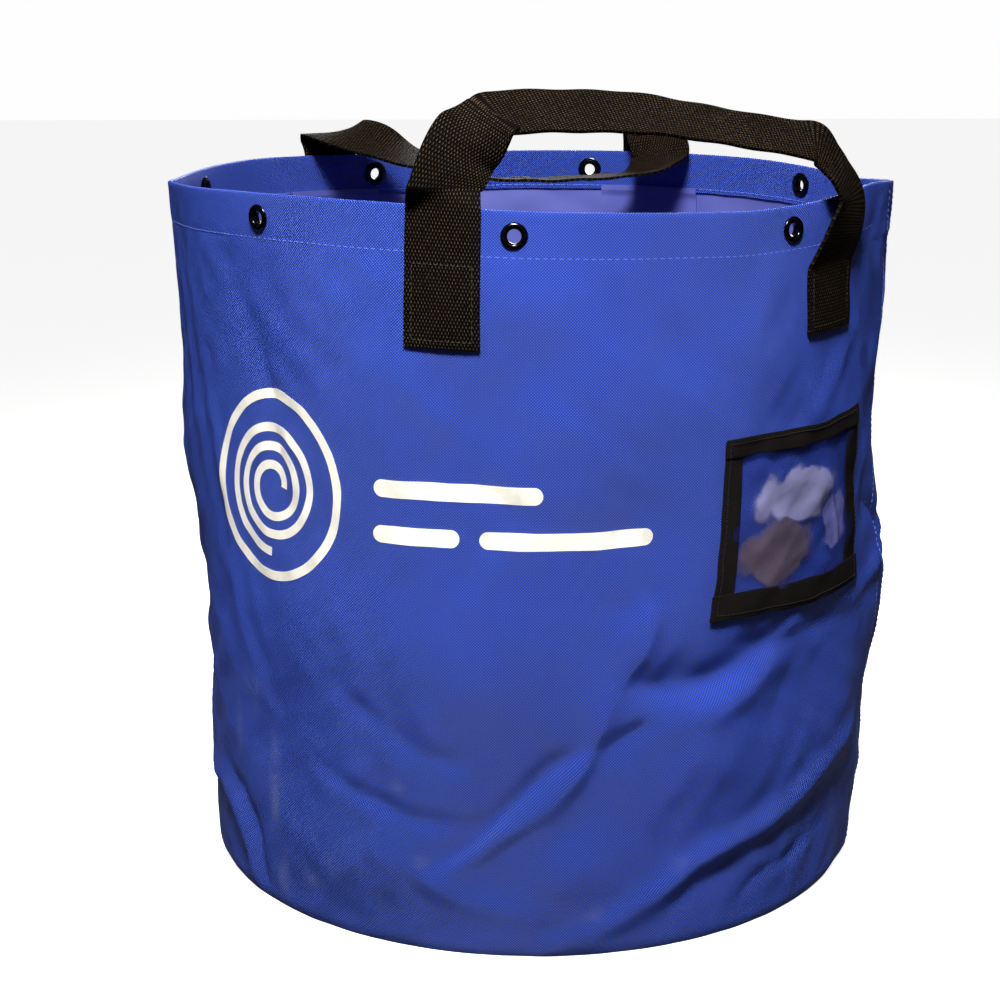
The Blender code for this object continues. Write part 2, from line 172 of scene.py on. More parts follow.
def cloudy(tree, vector, scale, detail=3.0, roughness=0.5):
    made = node(
        tree, "ShaderNodeTexNoise", Vector=vector, Scale=scale, Detail=detail, Roughness=roughness
    )
    return made.outputs["Fac"]


def object_coordinates(tree):
    return node(tree, "ShaderNodeTexCoord").outputs["Object"]


# ---------------------------------------------------------------- materials
def coated_fabric_material():
    """PVC-coated polyester, plain woven then coated: the threads show as a fine lattice of
    dots under a satin skin, lighter on the raised crossings as painted highlight and darker
    in the hollows as painted shade, and paler where the coating is rubbed or the cloth was folded."""
    made, tree, shader = new_material("pvc_coated_polyester_royal_blue")
    # Threads lie 0.8 mm apart.
    weave, place = lattice(tree, 0.80 * MM, 0.80 * MM)
    cloud = cloudy(tree, place, 9.0, 2.0)
    fine = cloudy(tree, place, 420.0, 2.0)
    base = mixed(tree, ramp(tree, cloud, 0.35, 0.7), linear("#1A3CAC"), linear("#2144C0"))
    # The weave's raised crossings are painted lighter (painted highlight) and its hollows darker
    # (painted shade).
    lit = mixed(tree, ramp(tree, weave, 0.1, 1.0), base, linear("#5079F8"))
    dark = mixed(tree, ramp(tree, weave, 0.1, -0.75), lit, linear("#0B1E68"))
    rubbed = node(tree, "ShaderNodeAttribute", {"attribute_name": "rubbed"}).outputs["Fac"]
    patchy = maths(tree, "MULTIPLY", rubbed, ramp(tree, cloudy(tree, place, 60.0), 0.3, 0.7))
    colour = mixed(tree, patchy, dark, linear("#8C94C4"))
    tree.links.new(colour, shader.inputs["Base Color"])
    rough = maths(tree, "ADD", maths(tree, "MULTIPLY", fine, 0.14), 0.42)
    tree.links.new(rough, shader.inputs["Roughness"])
    # The stiff coating dents and puckers, in facets about 15 mm across
    puckers = node(
        tree, "ShaderNodeTexNoise", {"noise_type": "RIDGED_MULTIFRACTAL"},
        Vector=place, Scale=34.0, Detail=2.0, Roughness=0.4,
    ).outputs["Fac"]
    dented = node(tree, "ShaderNodeBump", Strength=0.8, Distance=0.9 * MM, Height=puckers)
    height = maths(tree, "ADD", weave, maths(tree, "MULTIPLY", fine, 0.5))
    bump = node(
        tree, "ShaderNodeBump", Strength=1.0, Distance=0.44 * MM, Height=height,
        Normal=dented.outputs[0],
    )
    tree.links.new(bump.outputs[0], shader.inputs["Normal"])
    shader.inputs["IOR"].default_value = 1.5
    shader.inputs["Sheen Weight"].default_value = 0.04
    shader.inputs["Sheen Roughness"].default_value = 0.5
    shader.inputs["Sheen Tint"].default_value = linear("#7C96FF")
    return made


def fabric_back_material():
    """The same cloth's back: a thicker, smoother coat, greyer and a little glossier."""
    made, tree, shader = new_material("pvc_coating_back_violet_grey")
    weave, place = lattice(tree, 0.80 * MM, 0.80 * MM)
    cloud = cloudy(tree, place, 14.0, 3.0)
    base = mixed(tree, ramp(tree, cloud, 0.3, 0.7), linear("#5258A6"), linear("#646AB6"))
    tree.links.new(base, shader.inputs["Base Color"])
    shader.inputs["Roughness"].default_value = 0.42
    height = maths(tree, "ADD", maths(tree, "MULTIPLY", weave, 0.3), cloud)
    bump = node(tree, "ShaderNodeBump", Strength=0.3, Distance=0.1 * MM, Height=height)
    tree.links.new(bump.outputs[0], shader.inputs["Normal"])
    return made


def webbing_material(name, across, along, dark, light, shine):
    """Flat woven polypropylene tape: its warp yarns come up as rows of small dots between dark
    weft lines, each yarn a bundle of fine glossy filaments; the dots' brightness is painted
    highlight, the light colour laid on the raised yarns and their filaments."""
    made, tree, shader = new_material(name)
    weave, place = lattice(tree, across, along)
    cloud = cloudy(tree, place, 30.0, 3.0)
    stretched = node(tree, "ShaderNodeMapping", i0=place, i3=(3.0, 0.35, 1.0)).outputs[0]
    filaments = cloudy(tree, stretched, 900.0, 2.0)
    # The raised yarns and their filaments get the light colour as a painted highlight, varied by a
    # cloud.
    raised = ramp(tree, weave, 0.42, 0.98)
    painted_highlight_share = maths(tree, "MULTIPLY", raised, ramp(tree, filaments, 0.25, 0.65))
    painted_highlight_share = maths(tree, "MULTIPLY", painted_highlight_share, maths(tree, "ADD", cloud, 0.35))
    colour = mixed(tree, painted_highlight_share, linear(dark), linear(light))
    tree.links.new(colour, shader.inputs["Base Color"])
    shader.inputs["Roughness"].default_value = shine
    height = maths(tree, "ADD", weave, maths(tree, "MULTIPLY", filaments, 0.4))
    bump = node(tree, "ShaderNodeBump", Strength=0.8, Distance=0.35 * MM, Height=height)
    tree.links.new(bump.outputs[0], shader.inputs["Normal"])
    shader.inputs["Specular IOR Level"].default_value = 0.05
    return made


# Where the film lifts off the cloth: place and half-size on the film, tint, and haze
LIFTED_FILM = (
    (0.057, 0.066, 0.033, 0.016, "#9A9ACB", 0.56),
    (0.040, 0.034, 0.029, 0.018, "#64586A", 0.56),
    (0.094, 0.043, 0.013, 0.015, "#7F82CA", 0.36),
)
WARP = 0.024  # how far their edges wander


def vinyl_material():
    """Clear flexible PVC film, calendered: glossy, and hazed in patches where it has been
    creased and lifts off the cloth behind it."""
    made, tree, shader = new_material("clear_flexible_pvc_film")
    place = node(tree, "ShaderNodeUVMap", {"uv_map": "cloth"}).outputs[0]
    colour, opacity = linear("#22318C"), 0.16
    for x, y, wide, tall, tint, haze in LIFTED_FILM:
        warp = node(tree, "ShaderNodeTexNoise", Vector=place, Scale=55.0, Detail=2.0)
        offset = (-x - WARP / 2, -y - WARP / 2, 0.0)
        moved = node(
            tree, "ShaderNodeVectorMath", {"operation": "MULTIPLY_ADD"},
            i0=warp.outputs["Color"], i1=(WARP, WARP, 0.0), i2=place,
        ).outputs[0]
        centred = node(tree, "ShaderNodeVectorMath", {"operation": "ADD"}, i0=moved, i1=offset)
        scaled = node(
            tree, "ShaderNodeVectorMath", {"operation": "MULTIPLY"},
            i0=centred.outputs[0], i1=(1 / wide, 1 / tall, 0.0),
        )
        reach = node(
            tree, "ShaderNodeVectorMath", {"operation": "LENGTH"}, i0=scaled.outputs[0]
        ).outputs["Value"]
        mask = ramp(tree, reach, 1.18, 0.86)
        colour = mixed(tree, mask, colour, linear(tint))
        opacity = maths(tree, "MAXIMUM", maths(tree, "MULTIPLY", mask, haze), opacity)
    tree.links.new(colour, shader.inputs["Base Color"])
    tree.links.new(opacity, shader.inputs["Alpha"])
    shader.inputs["Roughness"].default_value = 0.08
    shader.inputs["IOR"].default_value = 1.53
    wobble = cloudy(tree, place, 160.0, 2.0)
    bump = node(tree, "ShaderNodeBump", Strength=0.25, Distance=0.4 * MM, Height=wobble)
    tree.links.new(bump.outputs[0], shader.inputs["Normal"])
    return made


def black_nickel_material():
    """Brass stamping plated in black nickel: a dark mirror with faint handling marks."""
    made, tree, shader = new_material("black_nickel_plated_brass")
    marks = cloudy(tree, object_coordinates(tree), 500.0, 3.0)
    colour = mixed(tree, ramp(tree, marks, 0.45, 0.75), linear("#2C2C31"), linear("#4A4A52"))
    tree.links.new(colour, shader.inputs["Base Color"])
    rough = maths(tree, "ADD", maths(tree, "MULTIPLY", marks, 0.14), 0.10)
    tree.links.new(rough, shader.inputs["Roughness"])
    shader.inputs["Metallic"].default_value = 1.0
    return made


def thread_material(name, dark, light):
    """Bonded polyester thread, twisted: a soft line of light with short dark turns."""
    made, tree, shader = new_material(name)
    place = object_coordinates(tree)
    turns = node(
        tree, "ShaderNodeTexWave", {"bands_direction": "DIAGONAL"},
        Vector=place, Scale=900.0, Distortion=1.0,
    ).outputs["Fac"]
    colour = mixed(tree, turns, linear(dark), linear(light))
    tree.links.new(colour, shader.inputs["Base Color"])
    shader.inputs["Roughness"].default_value = 0.55
    bump = node(tree, "ShaderNodeBump", Strength=0.4, Distance=0.08 * MM, Height=turns)
    tree.links.new(bump.outputs[0], shader.inputs["Normal"])
    return made


def print_material():
    """White screen-printing ink: matt, opaque, and sunk a little into the weave; greyed in the
    weave's hollows as painted shade.
    """
    made, tree, shader = new_material("white_screen_print_ink")
    weave, place = lattice(tree, 0.80 * MM, 0.80 * MM)
    worn = cloudy(tree, place, 220.0, 4.0)
    base = mixed(tree, ramp(tree, worn, 0.30, 0.55), linear("#EFECE0"), linear("#F8F5EA"))
    # Grey in the weave's hollows: painted shade.
    colour = mixed(tree, ramp(tree, weave, -0.2, -1.0), base, linear("#D9D8D6"))
    tree.links.new(colour, shader.inputs["Base Color"])
    shader.inputs["Roughness"].default_value = 0.6
    bump = node(tree, "ShaderNodeBump", Strength=0.3, Distance=0.08 * MM, Height=weave)
    tree.links.new(bump.outputs[0], shader.inputs["Normal"])
    return made


def floor_material():
    """Pale painted studio board."""
    made, tree, shader = new_material("pale_painted_board")
    grain = cloudy(tree, object_coordinates(tree), 40.0)
    colour = mixed(tree, grain, linear("#F4F4F3"), linear("#F8F8F7"))
    # To every ray but the camera's the board is dark grey, a painted shade that keeps it from
    # lighting the bag from below; the camera sees it pale and glowing evenly.
    seen = node(tree, "ShaderNodeLightPath").outputs["Is Camera Ray"]
    shown = mixed(tree, seen, linear("#5A5A5A"), colour)
    tree.links.new(shown, shader.inputs["Base Color"])
    tree.links.new(seen, shader.inputs["Emission Strength"])
    shader.inputs["Emission Color"].default_value = linear("#EDEDED")
    shader.inputs["Roughness"].default_value = 0.9
    shader.inputs["Specular IOR Level"].default_value = 0.0
    return made


COATED_FABRIC = coated_fabric_material()
FABRIC_BACK = fabric_back_material()
# Warp yarns lie 0.9 mm apart and surface every 1.9 mm along the strap.
# The second colour is the painted highlight on the raised yarns.
BLACK_WEBBING = webbing_material(
    "polypropylene_webbing_black", 0.90 * MM, 1.90 * MM, "#030202", "#66533A", 0.7
)
# Binding tape is woven finer, and matt.
# The second colour is the painted highlight on the raised yarns.
BLACK_TAPE = webbing_material(
    "woven_binding_tape_black", 0.5 * MM, 0.6 * MM, "#151213", "#4A433B", 0.8
)
CLEAR_VINYL = vinyl_material()
BLACK_NICKEL = black_nickel_material()
BLUE_THREAD = thread_material("bonded_polyester_thread_blue", "#2A4CC8", "#7D95F2")
BLACK_THREAD = thread_material("bonded_polyester_thread_black", "#050404", "#1C1814")
PRINT_INK = print_material()

# ---------------------------------------------------------------- the bag's surface
# Height of the rim over or under its mean, in mm, at these azimuths
RIM_WAVE = (
    (-88, -1), (-72, 1.5), (-57, 4), (-40, 5), (-23, 4), (-10, 1.5), (6, 0), (23, -1.5),
    (33, -2.5), (46, -0.5), (60, 4), (66, 5), (87, -0.5), (104, -5.5), (116, -2.5), (130, 0),
    (155, 1), (184, 0.5), (205, -1), (218, 1), (240, 3), (256, 2), (272, -1),
)
# Soft swells and hollows: azimuth, height, spread in degrees, spread in height, mm outwards
SWELLS = (
    (272, 0.260, 14, 0.035, 2.2),
    (272, 0.172, 12, 0.020, -2.6),
    (276, 0.120, 14, 0.030, -1.5),
    (83, 0.285, 12, 0.030, -2.6),
    (82, 0.170, 14, 0.050, 5.0),
    (84, 0.060, 14, 0.030, 1.6),
    (-6, 0.375, 9, 0.020, 1.6),
    (-12, 0.300, 9, 0.050, -2.2),
    (-30, 0.345, 9, 0.055, 1.8),
    (-52, 0.330, 10, 0.060, -1.8),
    (6, 0.305, 8, 0.030, 2.2),
    (16, 0.250, 7, 0.025, -2.4),
    (20, 0.350, 9, 0.035, -2.0),
    (33, 0.340, 8, 0.030, 2.0),
    (-36, 0.190, 12, 0.035, 1.8),
    (-12, 0.170, 12, 0.040, 2.2),
    (-48, 0.110, 8, 0.040, -2.2),
    (-30, 0.045, 12, 0.020, 1.8),
    (26, 0.110, 9, 0.025, 2.4),
    (44, 0.140, 9, 0.030, -2.2),
    (60, 0.110, 8, 0.035, 2.0),
    (56, 0.055, 8, 0.018, -1.4),
    (4, 0.050, 8, 0.020, 2.0),
    (120, 0.210, 20, 0.070, 3.0),
    (150, 0.120, 16, 0.050, -3.0),
    (180, 0.240, 18, 0.060, 2.5),
    (208, 0.130, 15, 0.050, -2.5),
    (236, 0.250, 14, 0.060, 2.5),
    (250, 0.110, 12, 0.045, -2.0),
    (105, 0.080, 12, 0.035, -2.0),
)
# Creases: mm outwards (negative for a groove), half-width in mm, lean, then its route as
# (azimuth, height). A lean moves the steeper flank to one side of the route.
FOLDS = (
    (-1.9, 4.5, 0.3, ((-39, 0.101), (-32, 0.090), (-26, 0.084), (-20, 0.078), (-12, 0.080))),
    (-2.6, 5.0, 0.4, (
        (-18, 0.053), (-13, 0.064), (-9, 0.078), (-5, 0.095), (2, 0.118), (8, 0.127))),
    (2.8, 6.0, 0.0, ((-14, 0.055), (-8, 0.073), (0, 0.094), (6, 0.121), (9, 0.150), (14, 0.177))),
    (2.0, 6.0, 0.0, ((14, 0.177), (15.5, 0.192), (13.5, 0.212))),
    (-4.6, 11.0, 0.5, ((11.5, 0.160), (17, 0.156), (24, 0.156), (31, 0.160), (38, 0.174))),
    (2.2, 10.0, 0.0, ((14, 0.141), (22, 0.140), (31, 0.146), (39, 0.160))),
    (-2.4, 7.0, 0.0, ((7, 0.117), (12, 0.131), (17, 0.140), (23, 0.143))),
    (2.9, 8.0, -0.5, (
        (2, 0.009), (10, 0.022), (18, 0.037), (25, 0.053), (34, 0.061), (44, 0.070),
        (56, 0.086), (66, 0.100))),
    (-1.6, 8.0, 0.0, ((18, 0.024), (26, 0.038), (36, 0.048), (48, 0.056), (60, 0.068))),
    (-1.4, 3.5, 0.5, ((34, 0.019), (38, 0.029), (45, 0.032), (50, 0.038), (56, 0.042))),
    (2.6, 6.5, 0.0, ((-80, 0.058), (-70, 0.056), (-62, 0.045), (-58, 0.024), (-57, 0.004))),
    (-1.8, 5.5, 0.0, ((-66, 0.070), (-58, 0.052), (-55, 0.030), (-53.5, 0.004))),
    (-3.0, 7.0, 0.0, ((-96, 0.043), (-86, 0.044), (-78, 0.041))),
    (-1.8, 8.0, 0.0, ((8, 0.212), (12, 0.206), (15.5, 0.212), (17, 0.222))),
    (1.3, 9.0, 0.0, ((-24, 0.330), (-14, 0.300), (-4, 0.276), (8, 0.262))),
    (-1.4, 10.0, 0.0, ((-4, 0.345), (4, 0.318), (12, 0.296), (22, 0.285))),
    (1.2, 9.0, 0.0, ((4, 0.362), (14, 0.332), (23, 0.318), (28, 0.300))),
    (-1.2, 9.0, 0.0, ((-60, 0.380), (-52, 0.340), (-47, 0.300), (-44, 0.250))),
    (1.0, 8.0, 0.0, ((-66, 0.300), (-60, 0.240), (-57, 0.180), (-50, 0.120))),
    (-1.3, 7.0, 0.0, ((-34, 0.150), (-26, 0.135), (-20, 0.120), (-12, 0.116))),
    (1.2, 7.0, 0.0, ((-30, 0.060), (-20, 0.045), (-10, 0.030), (4, 0.026))),
    (-1.6, 5.0, 0.0, ((66, 0.235), (72, 0.225), (76, 0.210), (79, 0.190))),
    (1.8, 6.0, 0.0, ((64, 0.180), (72, 0.190), (80, 0.214))),
    (-1.8, 5.0, 0.3, ((74.5, 0.405), (76, 0.360), (77, 0.310), (78, 0.262), (78, 0.220))),
    (-1.5, 8.0, 0.0, ((28, 0.180), (40, 0.172), (52, 0.176), (62, 0.168))),
    (3.0, 9.0, 0.0, ((98, 0.020), (112, 0.060), (128, 0.120), (140, 0.150))),
    (-3.2, 9.0, 0.0, ((118, 0.030), (132, 0.070), (150, 0.095), (170, 0.090))),
    (2.6, 9.0, 0.0, ((160, 0.020), (176, 0.060), (190, 0.120), (196, 0.170))),
    (-2.6, 8.0, 0.0, ((192, 0.050), (206, 0.085), (222, 0.095), (240, 0.080))),
    (2.4, 8.0, 0.0, ((224, 0.012), (236, 0.050), (250, 0.120), (256, 0.190))),
    (-2.2, 10.0, 0.0, ((140, 0.320), (158, 0.290), (180, 0.300), (204, 0.290), (226, 0.330))),
)
# Rubbed and whitened places: azimuth, height, spread in degrees, spread in height, strength
RUBS = (
    (-55, 0.131, 2.2, 0.010, 0.40), (-50, 0.075, 1.2, 0.030, 0.50), (-48, 0.020, 1.5, 0.014, 0.45),
    (-41, 0.026, 2.0, 0.005, 0.35), (-36, 0.042, 2.4, 0.004, 0.30), (-60, 0.100, 1.0, 0.030, 0.22),
    (-87, 0.368, 1.6, 0.007, 0.75), (-88, 0.330, 1.4, 0.010, 0.6), (-86, 0.392, 1.4, 0.004, 0.5),
    (-82, 0.250, 1.2, 0.040, 0.25), (-24, 0.098, 1.2, 0.004, 0.35), (7, 0.026, 1.6, 0.004, 0.30),
    (23, 0.050, 2.5, 0.004, 0.25), (-20, 0.055, 1.2, 0.003, 0.3), (60, 0.040, 2.0, 0.004, 0.2),
)


SLACK = 2.2  # times the swells' sizes above
CREASING = 1.7  # times the creases' sizes above
RIPPLES = 26  # small waves that the cloth keeps from being folded away
RIPPLE_SLOPE = 0.024


def turn_between(azimuth, centre):
    """How far an azimuth is from a centre, -180 to 180."""
    return (azimuth - centre + 180.0) % 360.0 - 180.0


def mouth_radius(azimuth):
    half_width = BASE_RADIUS + MOUTH_WIDENING
    half_depth = math.sqrt(2 * BASE_RADIUS**2 - half_width**2)
    angle = np.radians(azimuth)
    radius = 1 / np.hypot(np.sin(angle) / half_width, np.cos(angle) / half_depth)
    for centre, peak in CREASES:
        radius = radius + peak * np.exp(-np.abs(turn_between(azimuth, centre)) / CREASE_SPREAD)
    return radius


def ripples(azimuth, height):
    """Small sharp-crested waves in patches, running on unbroken all round."""
    out = np.zeros(np.broadcast(azimuth, height).shape)
    draw = random.Random(11)
    for _ in range(RIPPLES):
        turns, rise = draw.choice((-1, 1)) * draw.randint(7, 30), draw.uniform(30.0, 150.0)
        phase, patch = draw.uniform(0, 6.28), draw.randint(2, 5)
        wave = np.sin(np.radians(azimuth) * turns + height * rise + phase)
        length = 1 / math.hypot(turns / BASE_RADIUS, rise)
        sharp = 1 - 2 * np.sqrt(wave * wave + 0.02)
        patches = 0.5 + 0.5 * np.sin(np.radians(azimuth) * patch + height * 14.0 + phase * 3)
        out += RIPPLE_SLOPE * length * sharp * patches
    return out


def relief(azimuth, height):
    """How far the slack cloth stands out of, or in from, its true round."""
    out = ripples(azimuth, height)
    for centre, level, wide, tall, amount in SWELLS:
        across = turn_between(azimuth, centre) / wide
        out += SLACK * amount * MM * np.exp(-across**2 - ((height - level) / tall) ** 2)
    per_degree = math.radians(1.0) * BASE_RADIUS
    for amount, half_width, lean, route in FOLDS:
        route = catmull_rom(route, np.linspace(0.0, 1.0, 3 * len(route) - 2))
        middle = route[len(route) // 2][0]
        x = turn_between(azimuth, middle) * per_degree
        best = np.full(out.shape, 1e9)
        side = np.zeros(out.shape)
        share = np.zeros(out.shape)
        ends = [(turn_between(a, middle) * per_degree, h) for a, h in route]
        for i in range(len(ends) - 1):
            (x0, z0), (x1, z1) = ends[i], ends[i + 1]
            dx, dz = x1 - x0, z1 - z0
            t = np.clip(((x - x0) * dx + (height - z0) * dz) / (dx * dx + dz * dz), 0, 1)
            gap = np.hypot(x - x0 - t * dx, height - z0 - t * dz)
            nearer = gap < best
            best = np.where(nearer, gap, best)
            signed = np.sign(dx * (height - z0) - dz * (x - x0)) * gap
            side = np.where(nearer, signed, side)
            share = np.where(nearer, (i + t) / (len(ends) - 1), share)
        u = side / (half_width * MM)
        body = np.exp(-np.abs(u) ** 1.5) + lean * u * np.exp(-(u / 1.6) ** 2)
        fade = np.sin(math.pi * np.clip(0.08 + 0.84 * share, 0, 1)) ** 0.7
        past = np.exp(-((best / (2.5 * half_width * MM)) ** 2))
        out += CREASING * amount * MM * body * fade * past
    calm_top = np.clip((RIM - height) / 0.035, 0, 1)
    calm_foot = np.clip(height / 0.012, 0.25, 1)
    return out * (0.1 + 0.9 * calm_top) * calm_foot


def flat_zone(azimuth, height):
    """1 behind a sewn strap end, where the doubled cloth stays smoother."""
    held = np.zeros(np.broadcast(azimuth, height).shape)
    for tab in (*FRONT_TABS, *REAR_TABS):
        across = np.abs(turn_between(azimuth, tab)) / 9.0
        down = (RIM - height) / (TAB_LENGTH + 0.01)
        held = np.maximum(held, np.exp(-across**6 - np.clip(down, 0, 9) ** 8))
    return held


def wall_radius(azimuth, height):
    rise = np.clip((height - FLARE_START) / (RIM - FLARE_START), 0, 1)
    belly = BELLY * np.sin(math.pi * np.clip(height / RIM, 0, 1))
    radius = BASE_RADIUS + (mouth_radius(azimuth) - BASE_RADIUS) * rise**FLARE_POWER + belly
    return radius + relief(azimuth, height) * (1 - 0.8 * flat_zone(azimuth, height))


def rim_shift(azimuth):
    """Height of the wavy rim over its mean, smooth all round."""
    knots = sorted((a % 360.0, mm) for a, mm in RIM_WAVE)
    xs = np.array([a for a, _ in knots])
    ys = np.array([mm for _, mm in knots])
    total = 0.0
    for shift, weight in ((-4, 0.15), (-2, 0.2), (0, 0.3), (2, 0.2), (4, 0.15)):
        total = total + weight * np.interp(np.mod(azimuth + shift, 360.0), xs, ys, period=360.0)
    return total * MM


def lifted(azimuth, height):
    """A flat height on the cut sheet, moved to where the wavy rim carries it."""
    share = np.clip((height - 0.22) / (RIM - 0.22), 0, 1)
    return height + rim_shift(azimuth) * share**1.6


def wall_points(azimuth, height, offset=0.0):
    """Points standing off the middle of the wall sheet, outwards if offset is positive."""
    azimuth, height, offset = np.broadcast_arrays(
        np.asarray(azimuth, float), np.asarray(height, float), np.asarray(offset, float)
    )

    def bare(a, h):
        angle = np.radians(a)
        radius = wall_radius(a, h)
        return np.stack((radius * np.sin(angle), -radius * np.cos(angle), lifted(a, h)), -1)

    middle = bare(azimuth, height)
    if not np.any(offset):
        return middle
    step = 0.4
    along = bare(azimuth + step, height) - bare(azimuth - step, height)
    low = np.clip(height - 1.5 * MM, 0, None)
    upwards = bare(azimuth, low + 3 * MM) - bare(azimuth, low)
    out = np.cross(along, upwards)
    out /= np.linalg.norm(out, axis=-1, keepdims=True)
    return middle + out * offset[..., None]


# ---------------------------------------------------------------- making sheets
def deselect():
    if bpy.context.object and bpy.context.object.mode != "OBJECT":
        bpy.ops.object.mode_set(mode="OBJECT")
    bpy.ops.object.select_all(action="DESELECT")


def select_only(made):
    deselect()
    made.select_set(True)
    bpy.context.view_layer.objects.active = made


def grid_object(name, points, cloth, materials, closed=False):
    """A grid of points (rows, columns, 3) as a quad mesh with its cloth map in metres."""
    rows, columns = points.shape[:2]
    across = columns if closed else columns - 1
    corner = np.arange(rows - 1)[:, None] * columns + np.arange(across)[None]
    nxt = np.arange(rows - 1)[:, None] * columns + (np.arange(across)[None] + 1) % columns
    faces = np.stack((corner, nxt, nxt + columns, corner + columns), -1).reshape(-1, 4)
    mesh = bpy.data.meshes.new(name)
    mesh.from_pydata(points.reshape(-1, 3).tolist(), [], faces.tolist())
    layer = mesh.uv_layers.new(name="cloth")
    rows_of, columns_of = np.divmod(corner.reshape(-1), columns)
    right = columns_of + 1
    maps = [
        (rows_of, columns_of), (rows_of, right), (rows_of + 1, right), (rows_of + 1, columns_of)
    ]
    uv = np.stack([cloth[r, c % columns] for r, c in maps], 1).reshape(-1)
    layer.data.foreach_set("uv", uv.astype(np.float32))
    for material in materials:
        mesh.materials.append(material)
    made = bpy.data.objects.new(name, mesh)
    bpy.context.scene.collection.objects.link(made)
    mesh.shade_smooth()
    return made


def thicken(made, thickness, offset=0.0, back=0, edge=0):
    solid = made.modifiers.new("thickness", "SOLIDIFY")
    solid.thickness = thickness
    solid.offset = offset
    solid.use_rim = True
    solid.material_offset = back
    solid.material_offset_rim = edge
    select_only(made)
    bpy.ops.object.modifier_apply(modifier=solid.name)
    return made


def smooth_by_angle(made, degrees=40):
    select_only(made)
    bpy.ops.object.shade_smooth_by_angle(angle=math.radians(degrees))
    return made


def soften_edges(made, width):
    """Rounds the cut or woven edges of a thick strip."""
    select_only(made)
    bevel = made.modifiers.new("soft_edge", "BEVEL")
    bevel.width = width
    bevel.segments = 2
    bevel.limit_method = "ANGLE"
    bevel.angle_limit = math.radians(55)
    bpy.ops.object.modifier_apply(modifier=bevel.name)
    return smooth_by_angle(made, 50)


def finish(made, body, slot, *nodes):
    """Puts a piece on its body and hides the CAD nodes it stands for; its slot is not used."""
    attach(made, body)
    if nodes:
        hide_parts(*nodes)
    return made


# ---------------------------------------------------------------- wall
# Centres of the eyelets: azimuth and height
EYELETS = (
    (-49.5, 0.4055), (-5.5, 0.4055), (40.8, 0.4055), (118.5, 0.4055),
    (166.0, 0.4055), (211.0, 0.4055), (257.5, 0.4055),
)


def lap_lift(azimuth, height):
    """How far the sheet's outer end stands off where it laps over the under end."""
    over_hem = 2 * FABRIC + HEM_PLY_GAP + CLEARANCE
    over_wall = FABRIC + 2 * CLEARANCE
    low = RIM - HEM_DEPTH - 6 * MM
    full = over_wall + (over_hem - over_wall) * np.clip((height - low) / (5 * MM), 0, 1)
    return full * np.clip((azimuth - SEAM_AZIMUTH - 360.0 + 5.0) / 5.0, 0, 1)


def wall_columns():
    """Azimuths from the under end once round and on over the lap, closer at the front."""
    end = SEAM_AZIMUTH + 360.0 + math.degrees(LAP_WIDTH / BASE_RADIUS)
    azimuths = [SEAM_AZIMUTH]
    while azimuths[-1] < end - 0.4:
        front = abs(turn_between(azimuths[-1], 0.0)) < 92.0
        azimuths.append(min(azimuths[-1] + (0.8 if front else 1.45), end))
    return np.array(azimuths)


def wall_rows():
    """(offset, height, length along the cloth) up the outside, over the rim, down the hem."""
    fold = PLY_STEP / 2
    rows = [(0.0, h) for h in np.linspace(0.0, RIM - HEM_DEPTH - 4 * MM, 104)]
    rows += [(0.0, h) for h in np.linspace(RIM - HEM_DEPTH - 1 * MM, RIM - fold, 11)]
    for angle in np.radians((30, 60, 90, 120, 150)):
        rows.append((fold * (math.cos(angle) - 1), RIM - fold + fold * math.sin(angle)))
    rows += [(-PLY_STEP, h) for h in np.linspace(RIM - fold, RIM - HEM_DEPTH, 9)]
    rows = np.array(rows)
    steps = np.hypot(*np.diff(rows, axis=0).T)
    return rows, np.concatenate(([0.0], np.cumsum(steps)))


def make_wall():
    azimuths = wall_columns()
    rows, lengths = wall_rows()
    a = azimuths[None, :]
    h = rows[:, 1][:, None]
    # The needle line under the hem draws the cloth in a little
    stitch = -0.35 * MM * np.exp(-(((h - (RIM - HEM_DEPTH + 2.5 * MM)) / (1.8 * MM)) ** 2))
    stitch = np.where(rows[:, 0][:, None] == 0.0, stitch, 0.0)
    # The foot rolls under to meet the base
    foot = -2.2 * MM * np.exp(-h / (2.5 * MM))
    offset = rows[:, 0][:, None] + lap_lift(a, h) + stitch + foot
    points = wall_points(a, h, offset)
    cloth = np.stack(np.broadcast_arrays(np.radians(a) * BASE_RADIUS, lengths[:, None]), -1)
    made = grid_object("wall_panel_cloth", points, cloth, (COATED_FABRIC, FABRIC_BACK))
    rub = np.zeros(points.shape[:2])
    for centre, level, wide, tall, strength in RUBS:
        across = turn_between(a, centre) / wide
        rub = np.maximum(rub, strength * np.exp(-across**2 - ((h - level) / tall) ** 2))
    layer = made.data.attributes.new("rubbed", "FLOAT", "POINT")
    layer.data.foreach_set("value", rub.reshape(-1).astype(np.float32))
    thicken(made, FABRIC, 0.0, back=1)
    punch = eyelet_punches()
    cut = made.modifiers.new("eyelet_holes", "BOOLEAN")
    cut.operation = "DIFFERENCE"
    cut.solver = "EXACT"
    cut.object = punch
    select_only(made)
    bpy.ops.object.modifier_apply(modifier=cut.name)
    bpy.data.objects.remove(punch)
    smooth_by_angle(made, 50)
    return finish(made, "bag", "coated_fabric", "wall_panel")


def eyelet_frame(azimuth, height):
    """Middle of the wall sheet at an eyelet, with Z pointing out of the bag."""
    here = Vector(wall_points(azimuth, height))
    up_step = Vector(wall_points(azimuth, height + 2 * MM) - wall_points(azimuth, height - 2 * MM))
    along = Vector(wall_points(azimuth + 1, height) - wall_points(azimuth - 1, height))
    out = along.cross(up_step).normalized()
    side = UP.cross(out).normalized()
    turn = Matrix((side, out.cross(side), out)).transposed().to_4x4()
    return Matrix.Translation(here) @ turn


